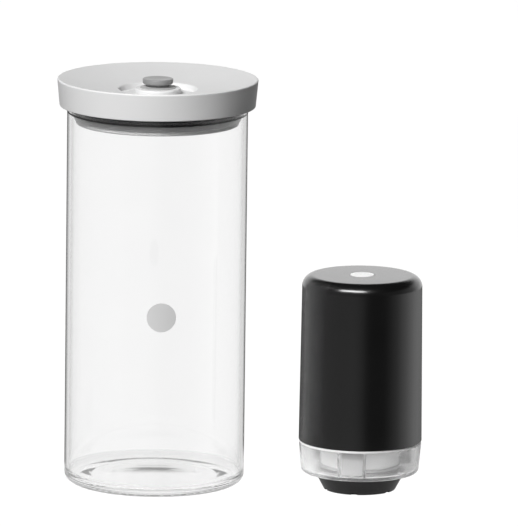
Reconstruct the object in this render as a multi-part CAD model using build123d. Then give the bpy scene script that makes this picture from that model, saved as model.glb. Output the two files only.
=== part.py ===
from build123d import *
import os
from math import sqrt

# A food canister that is sealed by vacuum, with the small electric pump that stands beside it.
# All sizes are millimetres. The origin is the middle of the jar's foot, on the table, with +Z up.
# The pump's own sizes are measured from its own axis, and from the table that it stands on.

# Glass jar
JAR_RADIUS = 48.5
GLASS_WALL = 2.2
JAR_HEIGHT = 213.0
JAR_CORNER_RADIUS = 5.5
FLOOR_HEIGHT = 4.2
FLOOR_CORNER_RADIUS = 4.0
FOOT_WIDTH = 5.0
PUNT_DEPTH = 1.4
PUNT_SLOPE_WIDTH = 4.0
PUNT_ROUND = 1.2
PRESS_RING_RADIUS = 22.5
PRESS_RING_DEPTH = 0.6
PRESS_RING_SLOPE = 1.0
MOUTH_ROUND = 0.95

# Lid shell, with its dished top, pump groove, valve boss and valve tube
SKIRT_CLEARANCE = 1.7
SKIRT_WALL = 2.4
SKIRT_FLARE = 1.4
SKIRT_BELOW_RIM = 7.6
RIM_RISE = 4.7
RIM_ROUND = 0.8
SKIRT_FOOT_ROUND = 0.5
DISH_DEPTH = 6.8
LID_WALL = 2.0
LEDGE_SPARE = 0.5
BOSS_RADIUS = 12.5
BOSS_ROUND = 0.9
BOSS_WALL = 2.0
BOSS_BELOW_RIM = 5.3
GROOVE_FLOOR_RADIUS = 19.7
GROOVE_SLOPE_WIDTH = 1.3
GROOVE_DEPTH = 3.4
GROOVE_EDGE_ROUND = 1.1
GROOVE_FOOT_ROUND = 0.8
AIR_HOLE_RADIUS = 1.1
AIR_HOLE_CIRCLE_RADIUS = 5.6
AIR_HOLE_COUNT = 6
POST_RADIUS = 3.4
POST_COUNT = 4
POST_ANGLE = 45

# Plug under the lid, its cover, its seals and its screws
PLUG_SEAL_GAP = 2.8
PLUG_LIP_GAP = 0.7
PLUG_LIP_TAPER = 1.2
PLUG_LIP_HEIGHT = 2.9
PLUG_WALL = 1.8
PLUG_FLANGE = 1.35
PLUG_FLANGE_OVERHANG = 0.4
PLUG_FLOOR = 2.0
PLUG_FOOT_ROUND = 0.5
COVER_THICKNESS = 2.2
COVER_INSET = 0.6
COVER_ROUND = 1.0
COVER_SPIGOT_HEIGHT = 1.2
COVER_SPIGOT_WALL = 1.0
COVER_SPIGOT_INSET = 2.4
COVER_HOLE_RADIUS = 1.2
COVER_HOLE_CIRCLE_RADIUS = 6.5
COVER_HOLE_COUNT = 8
GASKET_WALL = 1.2
GASKET_FLANGE = 1.1
GASKET_REST_GAP = 0.15
GASKET_FIN_CLEARANCE = 0.2
GASKET_FIN_ROOT = 1.3
GASKET_FIN_TIP = 0.5
GASKET_FIN_COUNT = 4
GASKET_FIN_START = 0.25
GASKET_FIN_PITCH = 2.3
GASKET_SHOWING = 4.3
TUBE_SEAL_HEIGHT = 1.2
LOCATING_RIB_WALL = 1.2
LOCATING_RIB_HEIGHT = 2.4
FILTER_RADIUS = 11.0
FILTER_THICKNESS = 1.0
LID_SCREW_RADIUS = 1.45
LID_SCREW_HEAD_RADIUS = 2.8
LID_SCREW_HEAD_HEIGHT = 1.1
LID_SCREW_LENGTH = 8.5

# Release valve in the lid: silicone disc, stem, retaining clip and knob
VALVE_TRAVEL = 2.0
VALVE_STOP_SPARE = 0.3
VALVE_DISC_RADIUS = 9.5
VALVE_DISC_EDGE = 0.45
VALVE_DISC_THICKNESS = 0.9
STEM_RADIUS = 2.4
STEM_NECK_RADIUS = 6.2
STEM_NECK_HEIGHT = 1.4
STEM_TOP_LENGTH = 1.5
STEM_TAIL_LENGTH = 1.4
CLIP_RADIUS = 4.4
CLIP_THICKNESS = 0.8
CLIP_GROOVE_DEPTH = 0.6
CLIP_SLOT_WIDTH = 2.6
KNOB_RADIUS = 8.2
KNOB_HEIGHT = 2.75
KNOB_ROUND = 0.55
KNOB_DISH_DEPTH = 0.35
KNOB_DISH_INSET = 1.3

# Pump, where it stands and its outer shell
SET_SPACING = 23.8
PUMP_FORWARD = 13.7
SHELL_RADIUS = 33.1
SHELL_TAPER = 0.9
SHELL_WALL = 2.2
SHELL_SHOULDER_ROUND = 6.0
SHELL_FOOT_ROUND = 0.4
PUMP_HEIGHT = 116.9
SHELL_BOTTOM = 26.8

# Suction cup
CUP_LIP_RADIUS = 19.2
CUP_LIP_WIDTH = 2.3
CUP_LIP_ROUND = 0.4
CUP_FLARE = 5.0
CUP_SKIRT_HEIGHT = 9.3
CUP_SKIRT_WALL = 3.4
CUP_NECK_WALL = 1.8
CUP_FLANGE_WIDTH = 2.3
CUP_FLANGE_THICKNESS = 1.4
CUP_NOTCH_COUNT = 6
CUP_NOTCH_WIDTH = 3.2
CUP_NOTCH_HEIGHT = 1.1
CUP_NOTCH_DEPTH = 1.3
FRONT_ANGLE = -99

# Clear base ring
BASE_GAP = 0.2
BASE_FLOOR = 2.0
BASE_WALL = 2.0
BASE_TAPER = 1.3
BASE_ROUND = 2.4
BASE_INNER_ROUND = 1.0
RIB_THICKNESS = 1.1
RIB_GAP_TO_CORE = 0.6
RIB_PAIR_COUNT = 3
RIB_HALF_ANGLE = 13.3
RIB_BELOW_TOP = 1.0
CATCH_COUNT = 6
CATCH_WIDTH = 3.0
CATCH_LENGTH = 2.8
CATCH_HEIGHT = 1.2

# Retainer that clamps the cup inside the base ring
RETAINER_THICKNESS = 1.5
RETAINER_ARM_THICKNESS = 1.6
RETAINER_ARM_GAP = 1.0
RETAINER_ARM_HALF_ANGLE = 11.2
RETAINER_ARM_BELOW_TOP = 0.7

# Inner frame
FLANGE_INSET = 0.25
FLANGE_HEIGHT = 1.3
FLANGE_ROUND = 0.4
FRAME_FLOOR = 2.0
CORE_WALL = 1.7
CORE_DRAFT = 0.5
CORE_FLOOR = 1.6
FRAME_RIM_HEIGHT = 4.6
FRAME_RIM_WALL = 2.2
FRAME_RIM_GAP = 0.3
SEAL_RING_THICKNESS = 1.4
SEAL_RING_BEVEL = 0.4
SEAL_RING_SQUEEZE_GAP = 0.1
SPINE_THICKNESS = 2.0
SPINE_OFFSET = 4.4
SPINE_SIDE_GAP = 3.5
TRAY_THICKNESS = 2.0
TRAY_WIDTH = 5.0
CLIP_WALL = 1.5
CLIP_HEIGHT = 7.0
CLIP_OPEN_HALF_ANGLE = 55
CLIP_EMBED = 0.5
BATTERY_CLIP_SHARES = (0.17, 0.83)
BARB_RADIUS = 1.85
BARB_BORE_RADIUS = 1.0
BARB_LENGTH = 6.0
INLET_FILTER_RADIUS = 5.5
INLET_FILTER_THICKNESS = 0.6

# Battery
BATTERY_TO_SHELL_GAP = 5.3
BATTERY_FLOOR_GAP = 12.0
BATTERY_TO_BOARD_GAP = 16.0
BATTERY_CAP_RADIUS = 3.2
BATTERY_CAP_HEIGHT = 0.8
BATTERY_BEVEL = 0.5

# Control board, its switch and charging socket, and the power button
BOARD_THICKNESS = 1.6
BOARD_EDGE_GAP = 3.8
BOARD_BELOW_TOP = 10.3
BOARD_SCREW_COUNT = 3
BOARD_SCREW_RADIUS = 1.0
BOARD_SCREW_HEAD_RADIUS = 1.9
BOARD_SCREW_HEAD_HEIGHT = 1.2
BOARD_SCREW_LENGTH = 3.2
BOARD_SCREW_ANGLE = 30
SWITCH_SIDE = 6.2
SWITCH_HEIGHT = 3.4
PLUNGER_RADIUS = 1.7
PLUNGER_CLEARANCE = 0.06
PLUNGER_PROUD = 0.9
PLUNGER_DEPTH = 2.2
PLUNGER_WELL_SPARE = 0.1
BUTTON_RADIUS = 6.5
BUTTON_CLEARANCE = 0.1
BUTTON_PROUD = 0.2
BUTTON_ROUND = 0.3
BUTTON_FLANGE_RADIUS = 8.4
BUTTON_FLANGE = 1.1
BUTTON_POST_RADIUS = 2.6
BUTTON_TRAVEL = 0.7
CHIP_HEIGHT = 1.2
CHIP_LENGTH = 5.0
CHIP_WIDTH = 4.0
CHIP_CIRCLE_RADIUS = 14.0
CHIP_ANGLES = (0, 180, 240, 300)
PORT_WIDTH = 8.9
PORT_HEIGHT = 3.2
PORT_LENGTH = 7.3
PORT_WALL = 0.35
PORT_TONGUE_HEIGHT = 0.7
PORT_TONGUE_INSET = 1.0
PORT_SLOT_CLEARANCE = 0.5
PORT_SHELL_GAP = 0.4

# Motor
MOTOR_INSET = 1.5
MOTOR_TO_BOARD_GAP = 6.8
MOTOR_CAN_WALL = 1.0
MOTOR_NOSE_RADIUS = 3.0
MOTOR_NOSE_HEIGHT = 1.4
MOTOR_CAP_THICKNESS = 2.0
MOTOR_CAP_HUB_RADIUS = 3.2
MOTOR_CAP_HUB_HEIGHT = 1.2
TERMINAL_WIDTH = 2.2
TERMINAL_THICKNESS = 0.5
TERMINAL_HEIGHT = 2.0
TERMINAL_INSET = 4.5
SHAFT_RADIUS = 1.0
SHAFT_CLEARANCE = 0.05
MAGNET_THICKNESS = 1.7
MAGNET_HALF_ANGLE = 58
MAGNET_END_GAP = 3.0
MAGNET_FIT_GAP = 0.05
ROTOR_AIR_GAP = 0.45
ROTOR_LENGTH_SHARE = 0.58
ROTOR_POLE_COUNT = 3
ROTOR_SLOT_WIDTH = 1.6
ROTOR_WINDOW_SHARE = 0.28
COMMUTATOR_RADIUS = 2.4
COMMUTATOR_LENGTH_SHARE = 0.145

# Diaphragm pump under the motor
HEAD_CORNER_RADIUS = 4.0
HEAD_THICKNESS = 5.0
HEAD_ABOVE_FRAME = 13.5
HEAD_TO_SPINE_GAP = 0.5
HEAD_TO_SHELL_GAP = 3.77
HEAD_NOZZLE_LENGTH = 5.5
VALVE_PLATE_THICKNESS = 2.0
PLATE_PORT_RADIUS = 0.9
FLAP_RADIUS = 2.8
FLAP_THICKNESS = 0.6
FLAP_POCKET_CLEARANCE = 0.15
CYLINDER_COUNT = 3
DIAPHRAGM_SHEET = 1.2
DIAPHRAGM_CUP_SHARE = 0.39
DIAPHRAGM_CUP_TO_WALL_GAP = 0.9
DIAPHRAGM_CUP_WALL = 0.9
DIAPHRAGM_CUP_HEIGHT = 5.4
BRACKET_HEIGHT = 18.0
BRACKET_WALL = 1.8
BRACKET_TOP = 2.0
BRACKET_WINDOW_WIDTH = 12.0
BRACKET_WINDOW_HEIGHT = 7.0
WOBBLE_THICKNESS = 2.0
WOBBLE_HUB_RADIUS = 3.4
WOBBLE_PAD_RADIUS = 3.2
WOBBLE_PIN_RADIUS = 1.1
WOBBLE_PIN_LENGTH = 3.6
WOBBLE_TO_HUB_GAP = 0.8
HUB_RADIUS = 5.4
HUB_LENGTH = 5.8
HUB_ECCENTRICITY = 0.9
HUB_SOCKET_CLEARANCE = 0.2
HUB_SOCKET_DEPTH = 3.2
MOTOR_SCREW_RADIUS = 1.0
MOTOR_SCREW_HEAD_RADIUS = 1.9
MOTOR_SCREW_HEAD_HEIGHT = 1.2
MOTOR_SCREW_INSET = 3.6
MOTOR_SCREW_BITE = 0.8
PUMP_SCREW_RADIUS = 0.9
PUMP_SCREW_INSET = 3.2
PUMP_SCREW_HEAD_RADIUS = 1.7
PUMP_SCREW_HEAD_HEIGHT = 1.0
PUMP_SCREW_BITE = 4.5
CORNER_PILLAR_RADIUS = 2.6

# Inlet tube
TUBE_WALL = 1.1
TUBE_BEND_RADIUS = 4.6
TUBE_END_GAP = 0.3
TUBE_BOTTOM_RUN = 8.8
TUBE_TOP_RUN = 7.7

# Screw heads: each head's bevel and cross recess, as shares of the head
SCREW_BEVEL_SHARE = 0.33
SCREW_RECESS_DEPTH_SHARE = 0.5
SCREW_RECESS_WIDTH_SHARE = 0.3

# Fits shared by all pieces
FIT_GAP = 0.05
STILL_GAP = 0.1

# Sizes worked out from the above
JAR_INNER_RADIUS = JAR_RADIUS - GLASS_WALL
GASKET_FLANGE_BOTTOM = JAR_HEIGHT + GASKET_REST_GAP
PLUG_FLANGE_BOTTOM = GASKET_FLANGE_BOTTOM + GASKET_FLANGE
LEDGE_HEIGHT = PLUG_FLANGE_BOTTOM + PLUG_FLANGE
LID_TOP = LEDGE_HEIGHT + RIM_RISE
SKIRT_BOTTOM = JAR_HEIGHT - SKIRT_BELOW_RIM
SKIRT_INNER_RADIUS = JAR_RADIUS + SKIRT_CLEARANCE
SKIRT_FOOT_RADIUS = SKIRT_INNER_RADIUS + SKIRT_WALL
LID_RADIUS = SKIRT_FOOT_RADIUS + SKIRT_FLARE
BOSS_TOP = LID_TOP - BOSS_BELOW_RIM
BOSS_UNDERSIDE = BOSS_TOP - LID_WALL
BOSS_INNER_RADIUS = BOSS_RADIUS - BOSS_WALL
GROOVE_FLOOR = BOSS_TOP - GROOVE_DEPTH
GROOVE_TOP_RADIUS = GROOVE_FLOOR_RADIUS + GROOVE_SLOPE_WIDTH
STEM_HOLE_RADIUS = STEM_RADIUS + STILL_GAP
PLUG_FLANGE_RADIUS = JAR_RADIUS + PLUG_FLANGE_OVERHANG
PLUG_WALL_RADIUS = JAR_INNER_RADIUS - PLUG_SEAL_GAP
PLUG_LIP_RADIUS = JAR_INNER_RADIUS - PLUG_LIP_GAP
PLUG_FOOT_RADIUS = PLUG_LIP_RADIUS - PLUG_LIP_TAPER
PLUG_INNER_RADIUS = PLUG_WALL_RADIUS - PLUG_WALL
PLUG_RECESS_RADIUS = PLUG_FOOT_RADIUS - COVER_SPIGOT_INSET
PLUG_LIP_TOP = SKIRT_BOTTOM - GASKET_SHOWING
PLUG_BOTTOM = PLUG_LIP_TOP - PLUG_LIP_HEIGHT
PLUG_FLOOR_BOTTOM = PLUG_BOTTOM + COVER_SPIGOT_HEIGHT
PLUG_FLOOR_TOP = PLUG_FLOOR_BOTTOM + PLUG_FLOOR
COVER_BOTTOM = PLUG_BOTTOM - COVER_THICKNESS
VALVE_TUBE_BOTTOM = PLUG_FLOOR_TOP + TUBE_SEAL_HEIGHT
POST_CIRCLE_RADIUS = (GROOVE_TOP_RADIUS + PLUG_INNER_RADIUS) / 2
VALVE_DISC_TOP = BOSS_TOP + VALVE_DISC_THICKNESS
KNOB_BOTTOM = VALVE_DISC_TOP + STEM_NECK_HEIGHT
CLIP_TOP = BOSS_UNDERSIDE - VALVE_TRAVEL - VALVE_STOP_SPARE

PUMP_X = LID_RADIUS + SET_SPACING + SHELL_RADIUS
PUMP_Y = -PUMP_FORWARD
FLANGE_BOTTOM = SHELL_BOTTOM - FLANGE_HEIGHT
FLANGE_RADIUS = SHELL_RADIUS - FLANGE_INSET
FRAME_FLOOR_TOP = FLANGE_BOTTOM + FRAME_FLOOR
FRAME_RIM_RADIUS = SHELL_RADIUS - SHELL_WALL - FRAME_RIM_GAP
CUP_TOP_RADIUS = CUP_LIP_RADIUS + CUP_FLARE
CUP_BORE_RADIUS = CUP_LIP_RADIUS - CUP_LIP_WIDTH
CUP_NECK_RADIUS = CUP_BORE_RADIUS + CUP_NECK_WALL
CUP_FLANGE_RADIUS = CUP_NECK_RADIUS + CUP_FLANGE_WIDTH
BASE_BOTTOM = CUP_SKIRT_HEIGHT + BASE_GAP
BASE_FLOOR_TOP = BASE_BOTTOM + BASE_FLOOR
BASE_FOOT_RADIUS = FLANGE_RADIUS - BASE_TAPER
BASE_INNER_FOOT_RADIUS = BASE_FOOT_RADIUS - BASE_WALL
RETAINER_BOTTOM = BASE_FLOOR_TOP + CUP_FLANGE_THICKNESS
CORE_BOTTOM = RETAINER_BOTTOM + RETAINER_THICKNESS
CORE_RADIUS = CUP_FLANGE_RADIUS + CORE_DRAFT
SHELL_INNER_RADIUS = SHELL_RADIUS - SHELL_TAPER - SHELL_WALL
BOARD_TOP = PUMP_HEIGHT - BOARD_BELOW_TOP
BOARD_BOTTOM = BOARD_TOP - BOARD_THICKNESS
BOARD_RADIUS = SHELL_INNER_RADIUS - BOARD_EDGE_GAP
BOARD_SCREW_CIRCLE_RADIUS = BOARD_RADIUS - TRAY_WIDTH / 2
SPINE_LEFT = SPINE_OFFSET - SPINE_THICKNESS / 2
SPINE_RIGHT = SPINE_OFFSET + SPINE_THICKNESS / 2
BATTERY_LEFT = SPINE_RIGHT + CLIP_WALL - CLIP_EMBED + STILL_GAP
BATTERY_RADIUS = (SHELL_INNER_RADIUS - BATTERY_TO_SHELL_GAP - BATTERY_LEFT) / 2
BATTERY_X = BATTERY_LEFT + BATTERY_RADIUS
BATTERY_BOTTOM = FRAME_FLOOR_TOP + BATTERY_FLOOR_GAP
BATTERY_LENGTH = BOARD_BOTTOM - BATTERY_TO_BOARD_GAP - BATTERY_BOTTOM
HEAD_BOTTOM = FRAME_FLOOR_TOP + HEAD_ABOVE_FRAME
HEAD_TOP = HEAD_BOTTOM + HEAD_THICKNESS
PLATE_TOP = HEAD_TOP + VALVE_PLATE_THICKNESS
SHEET_TOP = PLATE_TOP + DIAPHRAGM_SHEET
BRACKET_TOP_HEIGHT = SHEET_TOP + BRACKET_HEIGHT
WOBBLE_BOTTOM = SHEET_TOP + DIAPHRAGM_CUP_HEIGHT
WOBBLE_TOP = WOBBLE_BOTTOM + WOBBLE_THICKNESS
HUB_BOTTOM = WOBBLE_TOP + WOBBLE_TO_HUB_GAP
HUB_TOP = HUB_BOTTOM + HUB_LENGTH
SHAFT_BOTTOM = HUB_BOTTOM + HUB_SOCKET_DEPTH + WOBBLE_TO_HUB_GAP / 2
MOTOR_TOP = BOARD_BOTTOM - MOTOR_TO_BOARD_GAP
MOTOR_LENGTH = MOTOR_TOP - BRACKET_TOP_HEIGHT


def largest_square():
    """Side of the square pump head that fits between the spine and the shell.

    Each outer corner's round is centred (side - inset) along X and (side / 2 - corner radius)
    along Y from the pump's axis, and that place is the reach away from the axis."""
    inset = SPINE_LEFT - HEAD_TO_SPINE_GAP + HEAD_CORNER_RADIUS
    reach = SHELL_INNER_RADIUS - HEAD_TO_SHELL_GAP - HEAD_CORNER_RADIUS
    squares = 1 + 1 / 4
    sides = 2 * inset + HEAD_CORNER_RADIUS
    rest = inset**2 + HEAD_CORNER_RADIUS**2 - reach**2
    return (sides + sqrt(sides**2 - 4 * squares * rest)) / (2 * squares)


HEAD_SIDE = largest_square()
MOTOR_X = SPINE_LEFT - HEAD_TO_SPINE_GAP - HEAD_SIDE / 2
MOTOR_RADIUS = HEAD_SIDE / 2 - MOTOR_INSET
MOTOR_SCREW_CIRCLE_RADIUS = MOTOR_RADIUS - MOTOR_SCREW_INSET
SCREW_CORNER = HEAD_SIDE / 2 - PUMP_SCREW_INSET
CYLINDER_REACH = HEAD_SIDE / 2 - BRACKET_WALL - DIAPHRAGM_CUP_TO_WALL_GAP
DIAPHRAGM_CUP_RADIUS = CYLINDER_REACH * DIAPHRAGM_CUP_SHARE
CYLINDER_CIRCLE_RADIUS = CYLINDER_REACH - DIAPHRAGM_CUP_RADIUS


def face_of(*lines, rounds=()):
    """A flat face inside joined lines. Rounds are (corner, radius) pairs that soften it."""
    edges = [edge for line in lines for edge in line.edges()]
    face = make_face(edges)
    for corner, radius in rounds:
        face = fillet(face.vertices().sort_by_distance((*corner, 0))[0], radius)
    return face


def turned(outline, rounds=()):
    """A solid turned about Z from a closed outline of (radius, height) points."""
    return turned_face(face_of(Polyline(*outline, close=True), rounds=rounds))


def turned_face(face, angle=360):
    return revolve(Plane.XZ * face, Axis.Z, angle)


def ring(inner, outer, bottom, top):
    """A plain ring, or a disc where the inner radius is zero."""
    return turned([(inner, bottom), (outer, bottom), (outer, top), (inner, top)])


def rod(radius, bottom, top, x=0, y=0):
    """An upright round rod at a place."""
    return Pos(x, y, bottom) * extrude(Circle(radius), amount=top - bottom)


def block(x_size, y_size, bottom, top, x=0, y=0):
    """An upright rectangular block centred on a place."""
    return Pos(x, y, bottom) * extrude(Rectangle(x_size, y_size), amount=top - bottom)


def arc_ring(inner, outer, bottom, top, middle_angle, half_angle):
    """A piece of a ring, as wide as twice the half angle."""
    face = face_of(Polyline((inner, bottom), (outer, bottom), (outer, top), (inner, top), close=True))
    return Rot(0, 0, middle_angle - half_angle) * turned_face(face, 2 * half_angle)


def around(piece, count, start_angle=0):
    """Copies of a piece turned about Z at even angles, the first at the start angle."""
    return [Rot(0, 0, start_angle + 360 * turn / count) * piece for turn in range(count)]


def hollow_arc(start_radius, end_radius, height_at):
    """A shallow curve from one radius to another, through the height in the middle."""
    middle_radius = (start_radius + end_radius) / 2
    points = [(r, height_at(r)) for r in (start_radius, middle_radius, end_radius)]
    return ThreePointArc(*points)


def glass_jar():
    corner_start = JAR_RADIUS - JAR_CORNER_RADIUS
    foot_inner = corner_start - FOOT_WIDTH
    punt_edge = foot_inner - PUNT_SLOPE_WIDTH
    pressed = PUNT_DEPTH + PRESS_RING_DEPTH
    outline = [
        (0, pressed),
        (PRESS_RING_RADIUS, pressed),
        (PRESS_RING_RADIUS + PRESS_RING_SLOPE, PUNT_DEPTH),
        (punt_edge, PUNT_DEPTH),
        (foot_inner, 0),
        (JAR_RADIUS, 0),
        (JAR_RADIUS, JAR_HEIGHT),
        (JAR_INNER_RADIUS, JAR_HEIGHT),
        (JAR_INNER_RADIUS, FLOOR_HEIGHT),
        (0, FLOOR_HEIGHT),
    ]
    rounds = [
        ((punt_edge, PUNT_DEPTH), PUNT_ROUND),
        ((JAR_RADIUS, 0), JAR_CORNER_RADIUS),
        ((JAR_RADIUS, JAR_HEIGHT), MOUTH_ROUND),
        ((JAR_INNER_RADIUS, JAR_HEIGHT), MOUTH_ROUND),
        ((JAR_INNER_RADIUS, FLOOR_HEIGHT), FLOOR_CORNER_RADIUS),
    ]
    return turned(outline, rounds)


def dish_height(radius):
    """Height of the lid's dished top, which is level in the middle and rises to the rim."""
    return LID_TOP - DISH_DEPTH * (1 - (radius / LID_RADIUS) ** 2)


def lid_shell():
    ledge_inner = PLUG_INNER_RADIUS - LEDGE_SPARE
    under_groove = GROOVE_FLOOR - LID_WALL
    groove_back = GROOVE_TOP_RADIUS + LID_WALL
    groove_edge = (GROOVE_TOP_RADIUS, dish_height(GROOVE_TOP_RADIUS))
    boss_and_groove = Polyline(
        (STEM_HOLE_RADIUS, BOSS_TOP),
        (BOSS_RADIUS, BOSS_TOP),
        (BOSS_RADIUS, GROOVE_FLOOR),
        (GROOVE_FLOOR_RADIUS, GROOVE_FLOOR),
        groove_edge,
    )
    dish = hollow_arc(GROOVE_TOP_RADIUS, LID_RADIUS, dish_height)
    skirt_underside_and_tube = Polyline(
        (LID_RADIUS, LID_TOP),
        (SKIRT_FOOT_RADIUS, SKIRT_BOTTOM),
        (SKIRT_INNER_RADIUS, SKIRT_BOTTOM),
        (SKIRT_INNER_RADIUS, LEDGE_HEIGHT),
        (ledge_inner, LEDGE_HEIGHT),
        (ledge_inner, dish_height(ledge_inner) - LID_WALL),
        (groove_back, dish_height(groove_back) - LID_WALL),
        (GROOVE_FLOOR_RADIUS + LID_WALL, under_groove),
        (BOSS_RADIUS, under_groove),
        (BOSS_RADIUS, VALVE_TUBE_BOTTOM),
        (BOSS_INNER_RADIUS, VALVE_TUBE_BOTTOM),
        (BOSS_INNER_RADIUS, BOSS_UNDERSIDE),
        (STEM_HOLE_RADIUS, BOSS_UNDERSIDE),
        (STEM_HOLE_RADIUS, BOSS_TOP),
    )
    rounds = [
        ((BOSS_RADIUS, BOSS_TOP), BOSS_ROUND),
        ((BOSS_RADIUS, GROOVE_FLOOR), GROOVE_FOOT_ROUND),
        ((GROOVE_FLOOR_RADIUS, GROOVE_FLOOR), GROOVE_FOOT_ROUND),
        (groove_edge, GROOVE_EDGE_ROUND),
        ((LID_RADIUS, LID_TOP), RIM_ROUND),
        ((SKIRT_FOOT_RADIUS, SKIRT_BOTTOM), SKIRT_FOOT_ROUND),
    ]
    shell = turned_face(face_of(boss_and_groove, dish, skirt_underside_and_tube, rounds=rounds))
    post_top = dish_height(POST_CIRCLE_RADIUS) - LID_WALL / 2
    pilot_top = PLUG_FLOOR_BOTTOM + LID_SCREW_LENGTH + STILL_GAP
    post = rod(POST_RADIUS, PLUG_FLOOR_TOP, post_top, POST_CIRCLE_RADIUS)
    pilot = rod(LID_SCREW_RADIUS + FIT_GAP, PLUG_FLOOR_TOP, pilot_top, POST_CIRCLE_RADIUS)
    air_hole = rod(AIR_HOLE_RADIUS, BOSS_UNDERSIDE, BOSS_TOP, AIR_HOLE_CIRCLE_RADIUS)
    shell = shell + around(post, POST_COUNT, POST_ANGLE)
    shell = shell - around(pilot, POST_COUNT, POST_ANGLE)
    return shell - around(air_hole, AIR_HOLE_COUNT)


def lid_plug():
    outline = [
        (PLUG_INNER_RADIUS, LEDGE_HEIGHT),
        (PLUG_FLANGE_RADIUS, LEDGE_HEIGHT),
        (PLUG_FLANGE_RADIUS, PLUG_FLANGE_BOTTOM),
        (PLUG_WALL_RADIUS, PLUG_FLANGE_BOTTOM),
        (PLUG_WALL_RADIUS, PLUG_LIP_TOP),
        (PLUG_LIP_RADIUS, PLUG_LIP_TOP),
        (PLUG_FOOT_RADIUS, PLUG_BOTTOM),
        (PLUG_RECESS_RADIUS, PLUG_BOTTOM),
        (PLUG_RECESS_RADIUS, PLUG_FLOOR_BOTTOM),
        (0, PLUG_FLOOR_BOTTOM),
        (0, PLUG_FLOOR_TOP),
        (PLUG_INNER_RADIUS, PLUG_FLOOR_TOP),
    ]
    plug = turned(outline, [((PLUG_FOOT_RADIUS, PLUG_BOTTOM), PLUG_FOOT_ROUND)])
    rib_inner = BOSS_RADIUS + STILL_GAP
    rib_top = PLUG_FLOOR_TOP + LOCATING_RIB_HEIGHT
    plug = plug + ring(rib_inner, rib_inner + LOCATING_RIB_WALL, PLUG_FLOOR_TOP, rib_top)
    screw_hole = rod(LID_SCREW_RADIUS + STILL_GAP, PLUG_FLOOR_BOTTOM, PLUG_FLOOR_TOP, POST_CIRCLE_RADIUS)
    air_hole = rod(COVER_HOLE_RADIUS, PLUG_FLOOR_BOTTOM, PLUG_FLOOR_TOP, COVER_HOLE_CIRCLE_RADIUS)
    plug = plug - around(screw_hole, POST_COUNT, POST_ANGLE)
    return plug - around(air_hole, COVER_HOLE_COUNT)


def plug_cover():
    cover_radius = PLUG_FOOT_RADIUS - COVER_INSET
    spigot_outer = PLUG_RECESS_RADIUS - STILL_GAP
    spigot_inner = spigot_outer - COVER_SPIGOT_WALL
    spigot_top = PLUG_FLOOR_BOTTOM - STILL_GAP
    outline = [
        (0, COVER_BOTTOM),
        (cover_radius, COVER_BOTTOM),
        (cover_radius, PLUG_BOTTOM),
        (spigot_outer, PLUG_BOTTOM),
        (spigot_outer, spigot_top),
        (spigot_inner, spigot_top),
        (spigot_inner, PLUG_BOTTOM),
        (0, PLUG_BOTTOM),
    ]
    cover = turned(outline, [((cover_radius, COVER_BOTTOM), COVER_ROUND)])
    air_hole = rod(COVER_HOLE_RADIUS, COVER_BOTTOM, PLUG_BOTTOM, COVER_HOLE_CIRCLE_RADIUS)
    return cover - around(air_hole, COVER_HOLE_COUNT)


def air_filter():
    return ring(0, FILTER_RADIUS, PLUG_BOTTOM, PLUG_BOTTOM + FILTER_THICKNESS)


def rim_gasket():
    inner = PLUG_WALL_RADIUS + FIT_GAP
    wall = inner + GASKET_WALL
    fin_tip = JAR_INNER_RADIUS - GASKET_FIN_CLEARANCE
    slope = (GASKET_FIN_ROOT - GASKET_FIN_TIP) / 2
    outline = [(inner, PLUG_LIP_TOP), (wall, PLUG_LIP_TOP)]
    for fin in range(GASKET_FIN_COUNT):
        root = PLUG_LIP_TOP + GASKET_FIN_START + fin * GASKET_FIN_PITCH
        outline += [
            (wall, root),
            (fin_tip, root + slope),
            (fin_tip, root + slope + GASKET_FIN_TIP),
            (wall, root + GASKET_FIN_ROOT),
        ]
    outline += [
        (wall, GASKET_FLANGE_BOTTOM),
        (PLUG_FLANGE_RADIUS, GASKET_FLANGE_BOTTOM),
        (PLUG_FLANGE_RADIUS, PLUG_FLANGE_BOTTOM),
        (inner, PLUG_FLANGE_BOTTOM),
    ]
    return turned(outline)


def tube_seal():
    return ring(BOSS_INNER_RADIUS, BOSS_RADIUS, PLUG_FLOOR_TOP, VALVE_TUBE_BOTTOM)


def screw(radius, head_radius, head_height, length):
    """A screw that points up from its head, whose seat is at zero height."""
    bevel = head_height * SCREW_BEVEL_SHARE
    outline = [
        (0, -head_height),
        (head_radius - bevel, -head_height),
        (head_radius, bevel - head_height),
        (head_radius, 0),
        (radius, 0),
        (radius, length),
        (0, length),
    ]
    recess_width = head_radius * SCREW_RECESS_WIDTH_SHARE
    recess_top = head_height * SCREW_RECESS_DEPTH_SHARE - head_height
    recess = block(head_radius, recess_width, -head_height, recess_top)
    return turned(outline) - recess - Rot(0, 0, 90) * recess


def lid_screws():
    one = screw(LID_SCREW_RADIUS, LID_SCREW_HEAD_RADIUS, LID_SCREW_HEAD_HEIGHT, LID_SCREW_LENGTH)
    placed = Pos(POST_CIRCLE_RADIUS, 0, PLUG_FLOOR_BOTTOM) * one
    return Compound(around(placed, POST_COUNT, POST_ANGLE))


def valve_disc():
    inner = STEM_RADIUS + FIT_GAP
    outline = [
        (inner, BOSS_TOP),
        (VALVE_DISC_RADIUS, BOSS_TOP),
        (VALVE_DISC_RADIUS, BOSS_TOP + VALVE_DISC_EDGE),
        (STEM_NECK_RADIUS + STILL_GAP, VALVE_DISC_TOP),
        (inner, VALVE_DISC_TOP),
    ]
    return turned(outline)


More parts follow.
